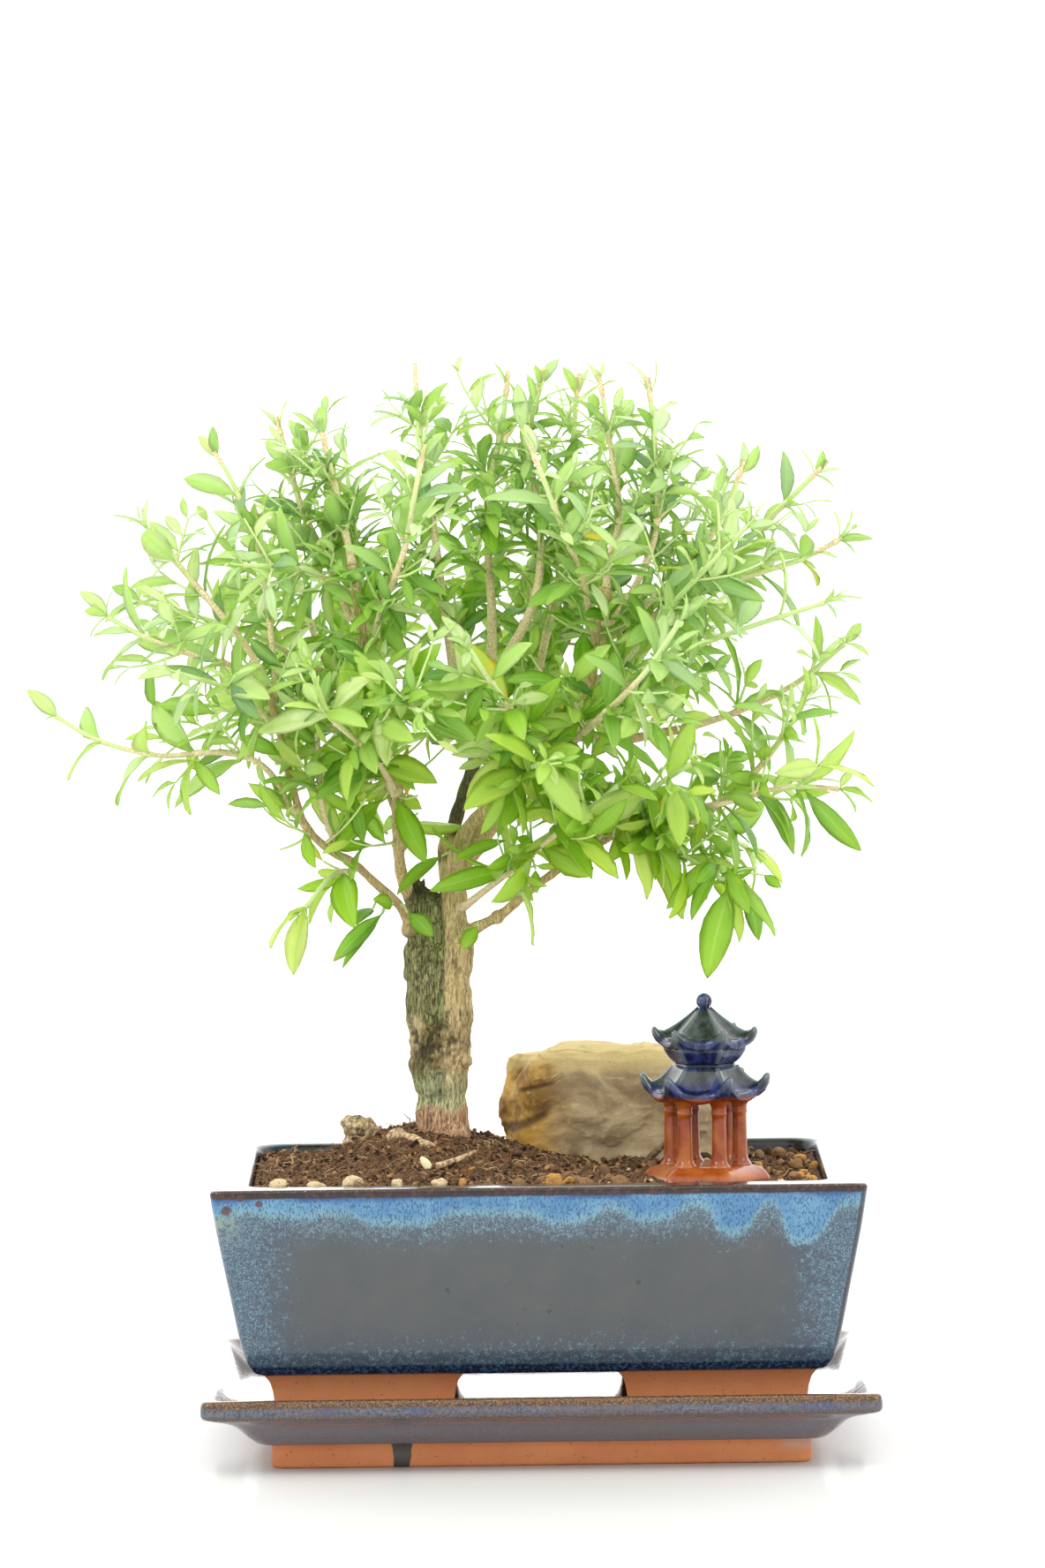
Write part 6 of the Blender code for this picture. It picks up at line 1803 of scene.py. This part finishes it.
def build_leaf_finish():
    """Leaf green that runs from bluish above to a painted yellow where light comes through, with a pale midrib."""
    made, place = new_finish("leaf_blade", 0.34, Specular_IOR_Level=0.5, Coat_Weight=0.15, Coat_Roughness=0.2)
    age, glow, tint = (paint_value(place, name) for name in ("age", "glow", "tint"))
    along, across, under = (paint_value(place, name) for name in ("along", "across", "under"))
    young = mixed(tint, fresh(218, 240, 158), fresh(250, 253, 230))
    blue_green = mixed(ramp(tint, 0.05, 0.22), fresh(50, 138, 74), fresh(124, 190, 18))
    grown_up = mixed(ramp(tint, 0.30, 0.55), blue_green, fresh(186, 225, 112))
    grown_up = mixed(ramp(tint, 0.68, 0.95), grown_up, fresh(250, 253, 218))
    tone = mixed(ramp(age, 0.1, 0.75), young, grown_up)
    # painted light: leaves far from the crown's middle and high up are painted paler, near white, as if in the full
    # glare of the bright surround
    outer_glare = ramp(distance_to(place, tuple(CROWN_CENTRE)), 0.050, 0.112, 0.0, 0.72)
    above = ramp(axes_of(place)[2], 0.180, 0.215, 0.1, 1.0)
    outer_glare = times(outer_glare, above, ramp(tint, 0.0, 0.25, 0.45, 1.0))
    tone = mixed(outer_glare, tone, fresh(244, 250, 240))
    # painted light: leaves that light would shine through are painted yellow-green
    lit = mixed(tint, fresh(172, 224, 16), fresh(242, 250, 96))
    tone = mixed(glow, tone, lit, 0.85)
    gold = mixed(ramp(noise(place, 160, 2), 0.42, 0.62), fresh(246, 214, 60), fresh(212, 224, 80))
    tone = mixed(paint_value(place, "gold"), tone, gold)
    tipped = ramp(along, 0.45, 1.0)
    tone = mixed(tipped, tone, fresh(196, 230, 90), 0.30)
    blotch = noise(place, 240, 3, 0.6)
    tone = mixed(ramp(blotch, 0.42, 0.66), tone, fresh(190, 226, 130), 0.15)
    rib = ramp(calc("ABSOLUTE", across), 0.13, 0.03)
    vein_run = less(times(along, 9.0), times(calc("ABSOLUTE", across), 1.5))
    vein = calc("ABSOLUTE", less(calc("FRACT", vein_run), 0.5))
    veins = times(ramp(vein, 0.10, 0.02), 0.35)
    tone = mixed(rib, tone, fresh(206, 234, 150), 0.42)
    tone = mixed(veins, tone, fresh(190, 226, 130), 0.35)
    tone = mixed(ramp(under, 0.3, 0.9), tone, fresh(190, 226, 150), 0.5)
    finished(made, tone, less(blotch, plus(rib, veins)), 0.12, 0.5)
    through = wire(made.node_tree, "ShaderNodeBsdfTranslucent", mixed(0.45, tone, fresh(232, 250, 140)))
    return blended(made, 0.56, through)


def build_stem_finish():
    """Young bark: pale green at the tip, then tan, with darker flecks."""
    made, place = new_finish("green_stem", 0.55)
    woody = paint_value(place, "woody")
    grain = noise(place, 1900, 3, 0.6)
    level = plus(woody, times(less(noise(place, 160, 2), 0.5), 0.5))
    tan = mixed(ramp(grain, 0.3, 0.7), fresh(206, 180, 134), fresh(250, 234, 196))
    tan = mixed(ramp(noise(place, 330, 2), 0.56, 0.66), tan, fresh(176, 140, 104), 0.3)
    green = mixed(grain, fresh(176, 214, 120), fresh(228, 238, 176))
    return finished(made, mixed(ramp(level, 0.30, 0.62), green, tan), grain, 0.15, 0.5)


wood = limb_samples()
plans = {name: seated(points, wood) for name, points in STEMS.items()}
for number, tip in enumerate(SHOOT_TIPS):
    plans[f"shoot_{number + 1:02d}"] = seated(shoot_points(tip, wood, plans.values()), wood)
others = wood[:, :4]
fine_paths, solid_paths = {}, {}
for name, points in plans.items():
    path = kept_clear(smooth_path(points, 2 * MM), others)
    others = np.vstack([others, path])
    fine_paths[name] = path
    solid_paths[name] = path[sorted({0, 1, 2, *range(5, len(path) - 3, 6), len(path) - 1})]

leaf_finish, stem_finish = build_leaf_finish(), build_stem_finish()
leaf_shapes = shape_collection("leaf_shape", [leaf_shape(number) for number in range(LEAF_SHAPES)])
leafy_stem = leafy_stem_tree()
all_leaves = {name: solid_leaves(name, solid_paths[name], order) for order, name in enumerate(fine_paths)}
marks = [leaf[0] + leaf[1] * leaf[3] * share    # the middle and the tip of every leaf
         for leaves in all_leaves.values() for leaf in leaves for share in (0.5, 1.0)]
marks += [row[:3] for path in fine_paths.values() for row in path]
crown = KDTree(len(marks))
for mark in marks:
    crown.insert(mark, 0)
crown.balance()

for order, (name, path) in enumerate(fine_paths.items()):
    spray = Spray()
    draw = random.Random(f"spray {order}")
    main, tall = name in STEMS, path[-1, 2] > 0.30
    thinned = 1.0 - 0.6 * float(np.clip((abs(path[-1, 0] + 17 * MM) - 70 * MM) / (40 * MM), 0, 1))
    slots = leaf_slots(solid_paths[name], 0.93 if tall else 0.99)
    spray.add_wood(noded(path, [at for at, last in slots]), 1.0 if main else 0.7, 0.25 if main else 0.0)
    if name in CUT_BACK or (main and tall):     # a cut end, where no leaf stands and the bark is tan
        spray.woody[-1][-8:] = 0.95
    for root, along, face, length, width, at in all_leaves[name]:
        spray.add_leaf(root, along, face, length, width, 1.0 - 0.55 * at ** 4, glow_at(root, draw), draw, True)
    for at, last in slots:
        here, axis = on_stem(path, at)
        for half in range(4):
            if draw.random() < (0.9 if main else 0.7) * (1 - 0.55 * at ** 2) * thinned and not last:
                heading = unit(axis * 0.7 + outward_at(axis, draw.uniform(0, 6.28)) + np.array((0, 0, 0.15)))
                smaller = 0.84 if here[2] > 0.27 else 1
                side_shoot(spray, here, heading, draw.uniform(7, 26) * MM, draw, 0.9, draw.uniform(12, 18) * smaller)
        if last and not (tall and draw.random() < 0.6):
            side_shoot(spray, here, axis, draw.uniform(3, 6) * MM, draw, 0.35, 8.0)
    built = grown("fine_" + name, spray.mesh("fine_" + name), leafy_stem, {
        "Leaf shapes": leaf_shapes, "Sides": 8, "Leaf finish": leaf_finish, "Stem finish": stem_finish})
    for spare in ("turn", "size", "shape", "is_leaf", "thickness"):
        if spare in built.attributes:
            built.attributes.remove(built.attributes[spare])
    settled("fine_" + name, built, "leaf", name)
inner = Spray()
draw = random.Random("inner")
bare_wood = [row for row in wood[::5] if row[2] > 0.186 and row[3] < 2.6 * MM]
for row in bare_wood:
    at_fork = -38 * MM < row[0] < 12 * MM and row[2] < 0.214 and row[1] < 14 * MM
    airy = row[0] > 38 * MM or row[0] < -72 * MM
    for _ in range(0 if at_fork else 1 if airy else 2):
        heading = unit(np.array([draw.uniform(-1, 1), draw.uniform(-1, 1), draw.uniform(0.0, 0.8)]))
        heading = unit(heading - row[4:7] * float(heading @ row[4:7]) * 0.8)
        root = row[:3] + heading * row[3] * 0.6
        side_shoot(inner, root, heading, draw.uniform(9, 26) * MM, draw, 0.9, draw.uniform(13, 18))
for root, tip, width in HUNG_LEAVES:
    root, tip = np.array(root) * MM, np.array(tip) * MM
    from_wood = others[np.argmin(np.linalg.norm(others[:, :3] - root, axis=1))]
    bend = 0.5 * (from_wood[:3] + root) + np.array((0, 0, 1.2 * MM))
    stalk = [(*(from_wood[:3] / MM), .5), (*(bend / MM), .42), (*(root / MM), .36)]
    inner.add_wood(smooth_path(stalk, 0.8 * MM), 0.5, 0.1)
    along = unit(tip - root)
    face = np.array((draw.uniform(-0.5, 0.5), -1.0, draw.uniform(0.2, 0.7)))
    face = unit(face - along * float(face @ along))
    inner.add_leaf(root, along, face, float(np.linalg.norm(tip - root)), width * MM * 0.9, 1.0,
                   draw.uniform(0.3, 0.7), draw, True, 0.35)
settled("inner_shoots", grown("inner_shoots", inner.mesh("inner_shoots"), leafy_stem, {
    "Leaf shapes": leaf_shapes, "Sides": 6, "Leaf finish": leaf_finish, "Stem finish": stem_finish}), "leaf")
clear_collection(leaf_shapes)
